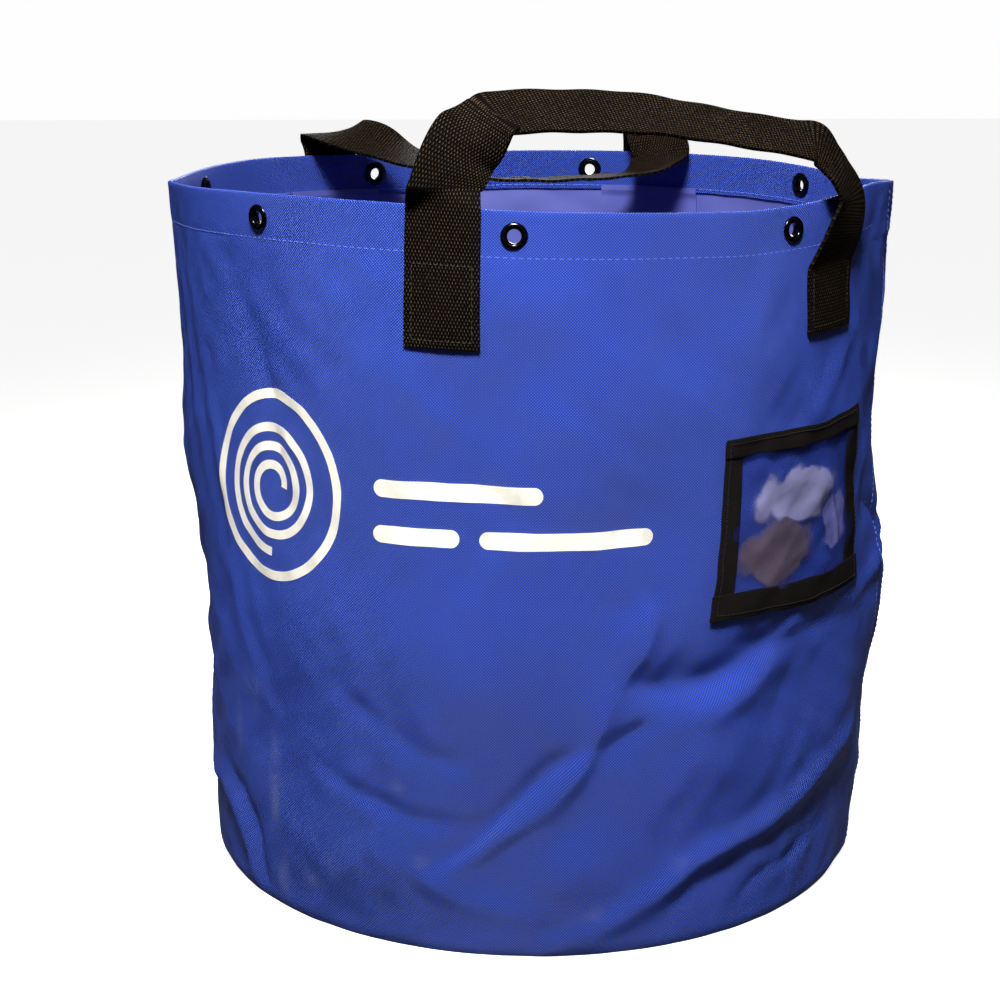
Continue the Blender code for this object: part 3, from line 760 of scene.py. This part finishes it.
def eyelet_punches():
    deselect()
    made = []
    for azimuth, height in EYELETS:
        bpy.ops.mesh.primitive_cylinder_add(vertices=32, radius=5.0 * MM, depth=12 * MM)
        punch = bpy.context.object
        punch.data.transform(eyelet_frame(azimuth, height))
        made.append(punch)
    for punch in made:
        punch.select_set(True)
    bpy.context.view_layer.objects.active = made[0]
    bpy.ops.object.join()
    return bpy.context.object


# ---------------------------------------------------------------- base
def make_base():
    """The round base, its edge turned up inside the wall where it is sewn."""
    rings, around = 34, 160
    radius = BASE_RADIUS - FABRIC - 2 * CLEARANCE - 0.8 * MM
    corner = 4 * MM
    profile = [(radius * s, 0.0) for s in np.linspace(0.01, 1 - corner / radius, rings)]
    for angle in np.radians((30, 60, 90)):
        inset, rise = 1 - math.sin(angle), 1 - math.cos(angle)
        profile.append((radius - corner * inset, corner * rise))
    profile += [(radius, h) for h in np.linspace(corner + 3 * MM, BASE_TURN_UP, 4)]
    profile = np.array(profile)
    angles = np.radians(np.arange(around) * 360.0 / around)
    r, z = profile[:, 0][:, None], profile[:, 1][:, None]
    ruck = 0.5 * MM * np.sin(angles * 5)[None] * np.exp(-((r - 0.12) / 0.05) ** 2)
    x, y = r * np.sin(angles)[None], -r * np.cos(angles)[None]
    level = z + FABRIC / 2 + np.abs(ruck) * (z < 1 * MM)
    points = np.stack(np.broadcast_arrays(x, y, level), -1)
    steps = np.hypot(*np.diff(profile, axis=0).T)
    lengths = np.concatenate(([0.0], np.cumsum(steps))) + profile[0, 0]
    flat = lengths[:, None] / np.maximum(r, 1e-6)
    cloth = points[..., :2] * flat[..., None]
    made = grid_object("base_panel_cloth", points, cloth, (COATED_FABRIC, FABRIC_BACK), closed=True)
    # the map of the closing column starts again at the first
    mesh = made.data
    layer = mesh.uv_layers["cloth"].data
    flat_points = cloth.reshape(-1, 2)
    for loop in mesh.loops:
        layer[loop.index].uv = flat_points[loop.vertex_index]
    select_only(made)
    bpy.ops.object.mode_set(mode="EDIT")
    bpy.ops.mesh.select_all(action="DESELECT")
    bpy.ops.mesh.select_mode(type="VERT")
    bpy.ops.object.mode_set(mode="OBJECT")
    for vertex in mesh.vertices:
        vertex.select = vertex.co.xy.length < radius * 0.015
    bpy.ops.object.mode_set(mode="EDIT")
    bpy.ops.mesh.edge_face_add()
    bpy.ops.mesh.select_all(action="SELECT")
    bpy.ops.mesh.normals_make_consistent(inside=False)
    bpy.ops.object.mode_set(mode="OBJECT")
    thicken(made, FABRIC, 0.0, back=1)
    smooth_by_angle(made, 50)
    return finish(made, "bag", "coated_fabric", "base_panel")


# ---------------------------------------------------------------- handles
def catmull_rom(points, share):
    """Points on the smooth curve through these, for shares from 0 to 1."""
    points = np.asarray(points, float)
    spans = len(points) - 1
    span = np.minimum((share * spans).astype(int), spans - 1)
    t = (share * spans - span)[:, None]
    p0, p1 = points[np.maximum(span - 1, 0)], points[span]
    p2, p3 = points[span + 1], points[np.minimum(span + 2, spans)]
    cube = (3 * p1 - p0 - 3 * p2 + p3) * t**3
    return (2 * p1 + (p2 - p0) * t + (2 * p0 - 5 * p1 + 4 * p2 - p3) * t**2 + cube) / 2


def flex_line(tabs):
    """Start and end of a handle's flex line, and the level directions along it and inwards."""
    ends = []
    step = 0.5
    for tab in tabs:
        around = [
            Vector((mouth_radius(np.array(a)) * math.sin(math.radians(a)),
                    -mouth_radius(np.array(a)) * math.cos(math.radians(a)), RIM))
            for a in (tab - step, tab, tab + step)
        ]
        out = (around[2] - around[0]).cross(UP).normalized()
        point = around[1] + out * TAB_OFFSET
        ends.append(Vector((point.x, point.y, PIVOT_HEIGHT)))
    along = (ends[1] - ends[0]).normalized()
    return ends[0], ends[1], along, UP.cross(along)


def tab_rows(tab, free):
    """Edge-to-edge points of the sewn strap end, from its cut end up to where it comes free."""
    across = np.linspace(-0.5, 0.5, 13)
    spread = math.degrees(WEBBING_WIDTH / float(wall_radius(np.array(tab), np.array(RIM))))
    top = RIM - 34 * MM if free else RIM + 5 * MM
    heights = np.linspace(RIM - TAB_LENGTH, top, 18 if free else 27)
    grid = wall_points(tab + across[None] * spread, np.minimum(heights, RIM)[:, None], TAB_OFFSET)
    grid[..., 2] += np.maximum(heights - RIM, 0.0)[:, None]
    return grid


def strap_length(name, rows, cloth, *nodes):
    """A length of woven webbing along these rows of points, standing for these CAD nodes."""
    made = grid_object(name, rows, np.ascontiguousarray(cloth), (BLACK_WEBBING,))
    thicken(made, WEBBING, 0.0)
    soften_edges(made, 0.45 * MM)
    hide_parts(*nodes)
    return made


def make_strap(name, tabs, route, leans, free, loop_node, tab_nodes):
    """One length of webbing: sewn end, over the rim, round the loop, and the other end."""
    start, end, along, inwards = flex_line(tabs)
    span = (end - start).length
    across = np.linspace(-0.5, 0.5, 13)
    local = np.array([(a * span, i, z) for a, i, z in route])
    basis = np.array([along, inwards, UP])
    centres = local @ basis + np.array(start)
    widths = np.array(leans, float) @ basis
    first = tab_rows(tabs[0], False)
    last = tab_rows(tabs[1], free)[::-1, ::-1]
    if free:
        centres = np.concatenate((centres, last[:1, 6]))
        widths = np.concatenate((widths, last[:1, -1] - last[:1, 0]))
    widths /= np.linalg.norm(widths, axis=1, keepdims=True)
    share = np.linspace(0.0, 1.0, 190)
    middle = catmull_rom(centres, share)
    width = catmull_rom(widths, share)
    ahead = np.gradient(middle, axis=0)
    ahead /= np.linalg.norm(ahead, axis=1, keepdims=True)
    squared = np.clip(np.minimum(share, 1 - share) / 0.2, 0, 1)[:, None]
    width -= ahead * np.sum(width * ahead, 1, keepdims=True) * squared
    width /= np.linalg.norm(width, axis=1, keepdims=True)
    loop = middle[:, None] + width[:, None] * across[None, :, None] * WEBBING_WIDTH
    rows = np.concatenate((first, loop, last))
    # ease the joins so that the strap bends over the rim in a curve
    joins = (len(first), len(first) + len(loop))
    smooth = rows.copy()
    for _ in range(4):
        eased = smooth.copy()
        eased[1:-1] = (smooth[:-2] + 2 * smooth[1:-1] + smooth[2:]) / 4
        index = np.arange(len(rows))
        near = np.zeros(len(rows))
        for join in joins:
            near = np.maximum(near, np.exp(-(((index - join) / 2.5) ** 2)))
        smooth = smooth + (eased - smooth) * near[:, None, None]
    rows = smooth
    steps = np.linalg.norm(np.diff(rows[:, 6], axis=0), axis=1)
    lengths = np.concatenate(([0.0], np.cumsum(steps)))
    # webbing is never quite flat: its edges wander by part of a millimetre
    wander = 0.35 * MM * np.sin(lengths * 190.0) * np.abs(across[:, None] * 2) ** 4
    normal = np.cross(np.gradient(rows, axis=0), np.gradient(rows, axis=1))
    normal /= np.linalg.norm(normal, axis=-1, keepdims=True)
    rows = rows + normal * wander.T[..., None]
    cloth = np.stack(np.broadcast_arrays(across[None] * WEBBING_WIDTH, lengths[:, None]), -1)
    if free:
        # A strap that hinges well clear of the cloth is made as one length.
        made = strap_length(name, rows, cloth, loop_node, *tab_nodes)
        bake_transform(made)
        return
    # A strap that folds flat over the rim is parted at its two hinge lines.
    per_point = (len(share) - 1) / (len(centres) - 1)
    cuts = (len(first) + round(per_point), len(rows) - len(last) - 1 - round(per_point))
    made = strap_length(name, rows[cuts[0]:cuts[1] + 1], cloth[cuts[0]:cuts[1] + 1], loop_node)
    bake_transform(made)
    ends = (rows[:cuts[0] + 1], cloth[:cuts[0] + 1]), (rows[cuts[1]:], cloth[cuts[1]:])
    for (points, mapped), tab_node in zip(ends, tab_nodes):
        made = strap_length(f"{tab_node}_webbing", points, mapped, tab_node)
        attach(made, "bag")


FRONT_ROUTE = (
    (0.001, 0.000, -0.002), (0.011, 0.000, 0.001), (0.028, 0.001, 0.009), (0.046, 0.003, 0.016),
    (0.068, 0.004, 0.0225), (0.100, 0.006, 0.0290), (0.128, 0.007, 0.0342), (0.160, 0.008, 0.0362),
    (0.300, 0.010, 0.0365),
    (0.500, 0.010, 0.0345), (0.650, 0.008, 0.0295), (0.830, 0.006, 0.0225), (0.925, 0.004, 0.0190),
    (0.964, 0.003, 0.0160), (0.998, 0.002, 0.0080), (1.026, 0.000, 0.000), (1.054, 0.000, -0.014),
    (1.034, -0.003, -0.030),
)
FRONT_LEANS = (
    (1.0, 0.0, 0.0), (1.0, 0.0, -0.05), (0.98, -0.02, -0.22), (0.90, -0.05, -0.42),
    (0.80, -0.28, -0.48), (0.55, -0.72, -0.43), (0.22, -0.86, -0.47), (0.06, -0.88, -0.48),
    (0.0, -0.88, -0.48),
    (0.0, -0.88, -0.48), (0.0, -0.89, -0.46), (-0.1, -0.89, -0.43), (-0.28, -0.86, -0.42),
    (-0.5, -0.75, -0.42), (-0.55, -0.78, -0.3), (-0.58, -0.78, -0.2), (-0.68, -0.72, -0.1),
    (-0.80, -0.60, 0.0),
)
REAR_ROUTE = (
    (0.000, -0.001, -0.003), (0.000, 0.001, 0.001), (-0.006, 0.010, -0.004),
    (-0.010, 0.020, -0.013), (0.030, 0.032, -0.0205), (0.090, 0.040, -0.024),
    (0.190, 0.045, -0.0255), (0.400, 0.049, -0.0265), (0.580, 0.048, -0.024),
    (0.750, 0.042, -0.013), (0.880, 0.034, 0.000), (0.960, 0.025, 0.004), (0.990, 0.012, 0.003),
    (1.000, 0.001, 0.001), (1.000, -0.001, -0.003),
)
REAR_LEANS = (
    (1.0, 0.0, 0.0), (1.0, 0.0, 0.0), (1.0, -0.1, 0.0), (0.85, -0.5, 0.0),
    (0.45, -0.89, -0.03), (0.1, -1.0, -0.05), (0.0, -1.0, -0.04), (0.0, -1.0, -0.04),
    (0.0, -1.0, -0.04), (-0.2, -1.0, 0.2), (-0.6, -0.8, 0.4), (-0.9, -0.5, 0.3),
    (-1.0, -0.1, 0.1), (-1.0, 0.0, 0.0), (-1.0, 0.0, 0.0),
)

# ---------------------------------------------------------------- eyelets
def turned_ring(name, profile, around=48):
    """A closed profile of (radius, height) drawn as rings from one circle, ring by ring."""
    deselect()
    bpy.ops.mesh.primitive_circle_add(vertices=around, radius=profile[0][0], location=(0, 0, 0))
    made = bpy.context.object
    made.name = name
    made.data.transform(Matrix.Translation((0, 0, profile[0][1])))
    bpy.ops.object.mode_set(mode="EDIT")
    bpy.ops.mesh.select_all(action="SELECT")
    for before, after in zip(profile, profile[1:] + profile[:1]):
        bpy.ops.mesh.extrude_edges_move()
        bpy.ops.transform.resize(
            value=(after[0] / before[0], after[0] / before[0], 1.0), center_override=(0, 0, 0)
        )
        bpy.ops.transform.translate(value=(0, 0, after[1] - before[1]))
    bpy.ops.mesh.select_all(action="SELECT")
    bpy.ops.mesh.remove_doubles(threshold=0.00001)
    bpy.ops.mesh.normals_make_consistent(inside=False)
    bpy.ops.object.mode_set(mode="OBJECT")
    made.data.materials.append(BLACK_NICKEL)
    return smooth_by_angle(made, 38)


def make_eyelets():
    """The stamped eyelet and its washer, shaped once and set round the rim."""
    outside = FABRIC / 2 + 0.25 * MM
    inside = -(PLY_STEP + FABRIC / 2 + 0.25 * MM)
    crown = [(3.7 + 1.8 * (1 - math.cos(t)), 1.35 * math.sin(t)) for t in np.linspace(0.5, 1.6, 5)]
    skirt = [(5.5 + 1.8 * math.sin(t), 1.35 * math.cos(t)) for t in np.linspace(0.35, 1.45, 5)]
    rolled = [(r * MM, outside + z * MM) for r, z in crown + skirt]
    profile = rolled + [
        (7.3 * MM, outside), (4.8 * MM, outside), (4.8 * MM, inside - 0.9 * MM),
        (6.2 * MM, inside - 0.8 * MM), (6.4 * MM, inside - 1.2 * MM), (5.4 * MM, inside - 1.6 * MM),
        (4.0 * MM, inside - 1.4 * MM), (3.7 * MM, inside - 0.9 * MM), (3.7 * MM, outside),
    ]
    washer = [
        (8.0 * MM, inside), (8.0 * MM, inside - 0.35 * MM), (7.4 * MM, inside - 0.75 * MM),
        (6.0 * MM, inside - 0.75 * MM), (5.0 * MM, inside - 0.6 * MM), (5.0 * MM, inside),
    ]
    first = turned_ring("eyelet_master", profile)
    second = turned_ring("washer_master", washer)
    for number, place in enumerate(EYELETS, start=1):
        at = eyelet_frame(*place)
        for master, kind in ((first, "eyelet"), (second, "eyelet_washer")):
            mesh = master.data.copy()
            mesh.transform(at)
            made = bpy.data.objects.new(f"{kind}_ring_{number}", mesh)
            bpy.context.scene.collection.objects.link(made)
            finish(made, "bag", "black_nickel", f"{kind}_{number}")
    for master in (first, second):
        bpy.data.objects.remove(master)


# ---------------------------------------------------------------- patches
def make_patch(name, azimuth):
    """A patch sewn inside behind a strap end, its coated side to the inside of the bag."""
    top, height = RIM - 23 * MM, 70 * MM
    hem_low = RIM - HEM_DEPTH
    spread = math.degrees(72 * MM / BASE_RADIUS)
    across = np.linspace(-0.5, 0.5, 25)
    levels = np.concatenate(
        (np.linspace(top - height, hem_low - 3 * MM, 22), np.linspace(hem_low - 1 * MM, top, 5))
    )
    over_hem = -(PLY_STEP + FABRIC + 2 * CLEARANCE)
    on_wall = -(FABRIC + 2 * CLEARANCE)
    offset = np.where(levels > hem_low - 2 * MM, over_hem, on_wall)
    points = wall_points(azimuth + across[None] * spread, levels[:, None], offset[:, None])
    cloth = np.stack(np.broadcast_arrays(across[None] * 72 * MM, levels[:, None]), -1)
    made = grid_object(name + "_cloth", points, cloth, (FABRIC_BACK,))
    thicken(made, FABRIC, 0.0)
    smooth_by_angle(made, 50)
    finish(made, "bag", "fabric_back", name)
    return made


# ---------------------------------------------------------------- label pocket
# Outer corners of the pocket as sewn, azimuth and height: it sits slightly askew
POCKET = {"tl": (27.5, 0.2950), "tr": (60.0, 0.2965), "bl": (25.2, 0.1930), "br": (62.0, 0.1905)}
POCKET_FLAT = (124 * MM, 104 * MM)


def pocket_place(s, t):
    """Azimuth and height at shares s across and t up the pocket."""
    s, t = np.asarray(s, float), np.asarray(t, float)
    low = [POCKET["bl"][k] + (POCKET["br"][k] - POCKET["bl"][k]) * s for k in (0, 1)]
    high = [POCKET["tl"][k] + (POCKET["tr"][k] - POCKET["tl"][k]) * s for k in (0, 1)]
    # the side edges are eased in a little half way up
    waist = 1.0 - 0.012 * np.sin(math.pi * t) * 2
    azimuth = low[0] + (high[0] - low[0]) * t
    middle = 43.6
    height = low[1] + (high[1] - low[1]) * t + 0.8 * MM * np.sin(s * 7.0 + 0.6)
    return middle + (azimuth - middle) * waist, height


def pocket_piece(name, s_range, t_range, counts, offset, thickness, material, wave=None):
    s = np.linspace(*s_range, counts[0])[None]
    t = np.linspace(*t_range, counts[1])[:, None]
    azimuth, height = pocket_place(s, t)
    lift = offset if wave is None else offset + wave(*np.broadcast_arrays(s, t))
    points = wall_points(azimuth, height, lift)
    cloth = np.stack(np.broadcast_arrays(s * POCKET_FLAT[0], t * POCKET_FLAT[1]), -1)
    if t_range[1] - t_range[0] < 0.3:
        cloth = cloth[..., ::-1]
    made = grid_object(name, points, np.ascontiguousarray(cloth), (material,))
    thicken(made, thickness, 0.0)
    return made


def crumple(s, t):
    """How far the slack film stands off the cloth: facets, and one long ruck."""
    draw = random.Random(7)
    out = np.zeros(s.shape)
    for _ in range(14):
        angle, scale = draw.uniform(0, math.pi), draw.uniform(5.0, 12.0)
        phase = draw.uniform(0, 6.28)
        wave = np.sin((s * math.cos(angle) + t * math.sin(angle)) * scale + phase)
        out += (1 - np.abs(wave) * 1.4) / 14
    ruck = 1.0 * np.exp(-(((s - 0.72 - 0.06 * np.sin(t * 5)) / 0.016) ** 2))
    edge = np.clip(np.minimum(np.minimum(s, 1 - s), np.minimum(t, 1 - t)) / 0.12, 0, 1)
    return (np.clip(out, -0.3, 1.0) * 3.6 + 0.8 + ruck) * MM * edge**0.7


def make_pocket():
    film, tape = 0.4 * MM, 0.9 * MM
    on_film = FABRIC / 2 + CLEARANCE + film / 2
    on_side = on_film + film / 2 + CLEARANCE + tape / 2
    on_end = on_side + tape * 0.8
    window = pocket_piece(
        "label_window_film", (0.03, 0.97), (0.03, 0.97), (110, 92), on_film, film, CLEAR_VINYL,
        crumple,
    )
    smooth_by_angle(window, 60)
    finish(window, "bag", "clear_vinyl", "label_window")
    ends = (
        ("left", (0.0, 0.098), (0.01, 0.99), (8, 60), on_side),
        ("right", (0.875, 0.985), (0.01, 0.99), (8, 60), on_side),
        ("top", (0.0, 1.0), (0.895, 1.0), (70, 8), on_end),
        ("bottom", (-0.01, 1.0), (0.0, 0.145), (70, 8), on_end),
    )
    for side, s_range, t_range, counts, offset in ends:
        piece = pocket_piece(
            f"label_tape_{side}_weave", s_range, t_range, counts, offset, tape, BLACK_TAPE
        )
        soften_edges(piece, 0.3 * MM)
        finish(piece, "bag", "black_tape", f"label_tape_{side}")


# ---------------------------------------------------------------- stitching
STITCH_DIP = 3.2  # times the square of the place along a stitch: its ends sink 0.8 of its width


def stitch_model():
    """One stitch lying along X, 1 long: a short thread that dips into the cloth at each end."""
    deselect()
    bpy.ops.mesh.primitive_cylinder_add(
        vertices=6, radius=0.5, depth=1.0, rotation=(0, math.pi / 2, 0)
    )
    made = bpy.context.object
    bpy.ops.object.transform_apply(location=False, rotation=True, scale=False)
    bpy.ops.object.mode_set(mode="EDIT")
    for x in (-0.3, 0.0, 0.3):
        bpy.ops.mesh.select_all(action="SELECT")
        bpy.ops.mesh.bisect(plane_co=(x, 0, 0), plane_no=(1, 0, 0))
    bpy.ops.object.mode_set(mode="OBJECT")
    for vertex in made.data.vertices:
        vertex.co.z -= STITCH_DIP * vertex.co.x**2
    points = np.array([v.co[:] for v in made.data.vertices])
    faces = [tuple(p.vertices) for p in made.data.polygons]
    bpy.data.objects.remove(made)
    return points, faces


STITCH_POINTS, STITCH_FACES = stitch_model()


def sew(name, centres, normals, directions, length, thickness, material, rise=0.25):
    """Copies the stitch along a line of places and joins the copies in one piece."""
    every, faces = [], []
    for centre, normal, ahead in zip(centres, normals, directions):
        side = np.cross(normal, ahead)
        local = STITCH_POINTS * (length, thickness, thickness)
        spots = centre + local[:, :1] * ahead + local[:, 1:2] * side
        spots = spots + (local[:, 2:3] + thickness * rise) * normal
        first = len(every) * len(STITCH_POINTS)
        every.append(spots)
        faces += [tuple(first + i for i in face) for face in STITCH_FACES]
    mesh = bpy.data.meshes.new(name)
    mesh.from_pydata(np.concatenate(every).tolist(), [], faces)
    mesh.materials.append(material)
    mesh.shade_smooth()
    made = bpy.data.objects.new(name, mesh)
    bpy.context.scene.collection.objects.link(made)
    return made


def sew_on_wall(name, azimuths, heights, offset, pitch, thickness, material):
    """A seam that follows a route on the wall, drawn through close points."""
    line = wall_points(azimuths, heights, offset)
    inner = wall_points(azimuths, heights, offset - 1 * MM)
    lengths = np.concatenate(([0.0], np.cumsum(np.linalg.norm(np.diff(line, axis=0), axis=1))))
    count = int(lengths[-1] / pitch)
    at = (np.arange(count) + 0.5) * lengths[-1] / count
    centres = np.stack([np.interp(at, lengths, line[:, k]) for k in range(3)], 1)
    out = line - inner
    normals = np.stack([np.interp(at, lengths, out[:, k]) for k in range(3)], 1)
    normals /= np.linalg.norm(normals, axis=1, keepdims=True)
    later = np.stack([np.interp(at + 0.5 * MM, lengths, line[:, k]) for k in range(3)], 1)
    ahead = later - centres
    ahead[-1] = ahead[-2] if len(ahead) > 1 else ahead[-1]
    ahead -= normals * np.sum(ahead * normals, 1, keepdims=True)
    ahead /= np.linalg.norm(ahead, axis=1, keepdims=True)
    return sew(name, centres, normals, ahead, pitch * 0.78, thickness, material)


def loop_round(corners, counts):
    """Close points once round a four-cornered line of sewing, as two lists."""
    ends = corners[1:] + corners[:1]
    sides = [np.linspace(a, b, count) for a, b, count in zip(corners, ends, counts)]
    return np.concatenate(sides).T


def make_stitching():
    line = RIM - HEM_DEPTH + 2.5 * MM
    azimuths = np.linspace(SEAM_AZIMUTH + 7.5, SEAM_AZIMUTH + 354, 900)
    level = np.full(len(azimuths), line)
    hem = sew_on_wall(
        "hem_stitching", azimuths, level, FABRIC / 2 - 0.3 * MM, 4.2 * MM, 0.55 * MM, BLUE_THREAD
    )
    finish(hem, "bag", "coated_fabric")
    inner = sew_on_wall(
        "hem_stitching_inside", azimuths, level, -(PLY_STEP + FABRIC / 2), 4.2 * MM, 0.5 * MM,
        BLUE_THREAD,
    )
    inner.data.flip_normals()
    finish(inner, "bag", "coated_fabric")
    heights = np.linspace(6 * MM, RIM - 4 * MM, 300)
    for number, inset in enumerate((3.0 * MM, 20.0 * MM), start=1):
        azimuth = SEAM_AZIMUTH + 360 + math.degrees((LAP_WIDTH - inset) / BASE_RADIUS)
        upright = np.full(len(heights), azimuth)
        seam = sew_on_wall(
            f"side_seam_stitching_{number}", upright, heights,
            lap_lift(upright, heights) + FABRIC / 2, 3.6 * MM, 0.5 * MM, BLUE_THREAD,
        )
        finish(seam, "bag", "coated_fabric")
    half = math.degrees((WEBBING_WIDTH / 2 - 3.5 * MM) / BASE_RADIUS)
    low, high = RIM - TAB_LENGTH + 4 * MM, RIM - 29 * MM
    for number, tab in enumerate((*FRONT_TABS, *REAR_TABS), start=1):
        corners = ((tab - half, low), (tab + half, low), (tab + half, high), (tab - half, high))
        azimuth, height = loop_round(corners, (40, 40, 40, 40))
        seam = sew_on_wall(
            f"strap_stitching_{number}", azimuth, height, TAB_OFFSET + WEBBING / 2, 3.0 * MM,
            0.6 * MM, BLACK_THREAD,
        )
        finish(seam, "bag", "black_webbing")
    corners = ((0.02, 0.03), (0.965, 0.03), (0.965, 0.975), (0.02, 0.975))
    azimuth, height = pocket_place(*loop_round(corners, (60, 50, 60, 50)))
    on_tape = FABRIC / 2 + 3 * CLEARANCE + 0.4 * MM + 0.9 * MM * 1.8
    seam = sew_on_wall(
        "pocket_stitching", azimuth, height, on_tape, 3.0 * MM, 0.45 * MM, BLACK_THREAD
    )
    finish(seam, "bag", "black_tape")


# ---------------------------------------------------------------- print
def print_strip(name, centres, width, count_across=3, closed=False):
    """A printed line of ink: centres are (azimuth, height) points, width in metres."""
    centres = np.asarray(centres, float)
    per_degree = math.radians(1.0) * BASE_RADIUS
    flat = np.stack((centres[:, 0] * per_degree, centres[:, 1]), 1)
    if closed:
        ahead = np.roll(flat, -1, 0) - np.roll(flat, 1, 0)
    else:
        ahead = np.gradient(flat, axis=0)
    ahead /= np.linalg.norm(ahead, axis=1, keepdims=True)
    side = np.stack((-ahead[:, 1], ahead[:, 0]), 1)
    across = np.linspace(-0.5, 0.5, count_across)
    spread = np.asarray(width, float) * np.ones(len(flat))
    laid = flat[None] + side[None] * across[:, None, None] * spread[None, :, None]
    points = wall_points(laid[..., 0] / per_degree, laid[..., 1], FABRIC / 2 + 0.10 * MM)
    made = grid_object(name, points, np.ascontiguousarray(laid), (PRINT_INK,), closed=closed)
    layer = made.data.uv_layers["cloth"].data
    flat_map = laid.reshape(-1, 2)
    for loop in made.data.loops:
        layer[loop.index].uv = flat_map[loop.vertex_index]
    thicken(made, 0.14 * MM, 0.0)
    smooth_by_angle(made)
    return finish(made, "bag", "coated_fabric")


MARK_CENTRE = (-47.0, 0.2600)
# The bars: low and high edge, and the azimuths where each starts and ends
BARS = (
    (0.2590, 0.2800, -27.0, -1.0), (0.2340, 0.2550, -27.0, -13.5), (0.2340, 0.2550, -10.5, 16.0)
)


def make_print():
    """A generic mark, a coil of rope in a ring, and three plain bars beside it."""
    per_degree = math.radians(1.0) * BASE_RADIUS

    def round_mark(wide, tall, angles):
        across = MARK_CENTRE[0] + wide * np.cos(angles) / per_degree
        return np.stack((across, MARK_CENTRE[1] + tall * np.sin(angles)), 1)

    ring = round_mark(0.049, 0.051, np.linspace(0, 2 * math.pi, 121)[:-1])
    print_strip("print_ring", ring, 5.4 * MM, 4, closed=True)
    turns = np.linspace(0.0, 2.75 * 2 * math.pi, 320)
    radius = 0.009 + 0.0104 * turns / (2 * math.pi)
    print_strip("print_coil", round_mark(radius, radius, turns), 5.0 * MM, 4)
    count = 130
    for number, (low, high, start, end) in enumerate(BARS, start=1):
        level = (low + high) / 2
        tall = (high - low) * 0.46
        line = np.stack((np.linspace(start, end, count), np.full(count, level)), 1)
        from_end = np.minimum(np.arange(count), count - 1 - np.arange(count))
        inset = from_end * abs(end - start) * per_degree / (count - 1)
        part = np.clip(inset / (tall / 2), 0.02, 1)
        rounded = tall * np.sqrt(np.clip(1 - (1 - part) ** 2, 0, 1))
        print_strip(f"print_bar_{number}", line, rounded, 7)


# ---------------------------------------------------------------- floor
def make_floor():
    deselect()
    bpy.ops.mesh.primitive_plane_add(size=14.0, location=(0, 0, 0))
    made = bpy.context.object
    made.name = "studio_floor"
    made.data.transform(Matrix.Translation((0, 0, -0.4 * MM)))
    made.data.materials.append(floor_material())


def make_world():
    world = bpy.data.worlds.new("studio")
    world.use_nodes = True
    tree = world.node_tree
    back = tree.nodes["Background"]
    back.inputs["Color"].default_value = linear("#FBFBFB")
    seen = node(tree, "ShaderNodeLightPath").outputs["Is Camera Ray"]
    strength = maths(tree, "ADD", maths(tree, "MULTIPLY", seen, 0.95), 0.075)
    tree.links.new(strength, back.inputs["Strength"])
    bpy.context.scene.world = world


make_floor()
make_world()
wall = make_wall()
base = make_base()
make_strap(
    "front_handle_webbing", FRONT_TABS, FRONT_ROUTE, FRONT_LEANS, True,
    "front_handle_loop", ("front_handle_left_tab", "front_handle_right_tab"),
)
make_strap(
    "rear_handle_webbing", REAR_TABS, REAR_ROUTE, REAR_LEANS, False,
    "rear_handle_loop", ("rear_handle_right_tab", "rear_handle_left_tab"),
)
make_eyelets()
for patch_name, patch_azimuth in (
    ("front_left_patch", FRONT_TABS[0]), ("front_right_patch", FRONT_TABS[1]),
    ("rear_right_patch", REAR_TABS[0]), ("rear_left_patch", REAR_TABS[1]),
):
    make_patch(patch_name, patch_azimuth)
make_pocket()
make_stitching()
make_print()
deselect()
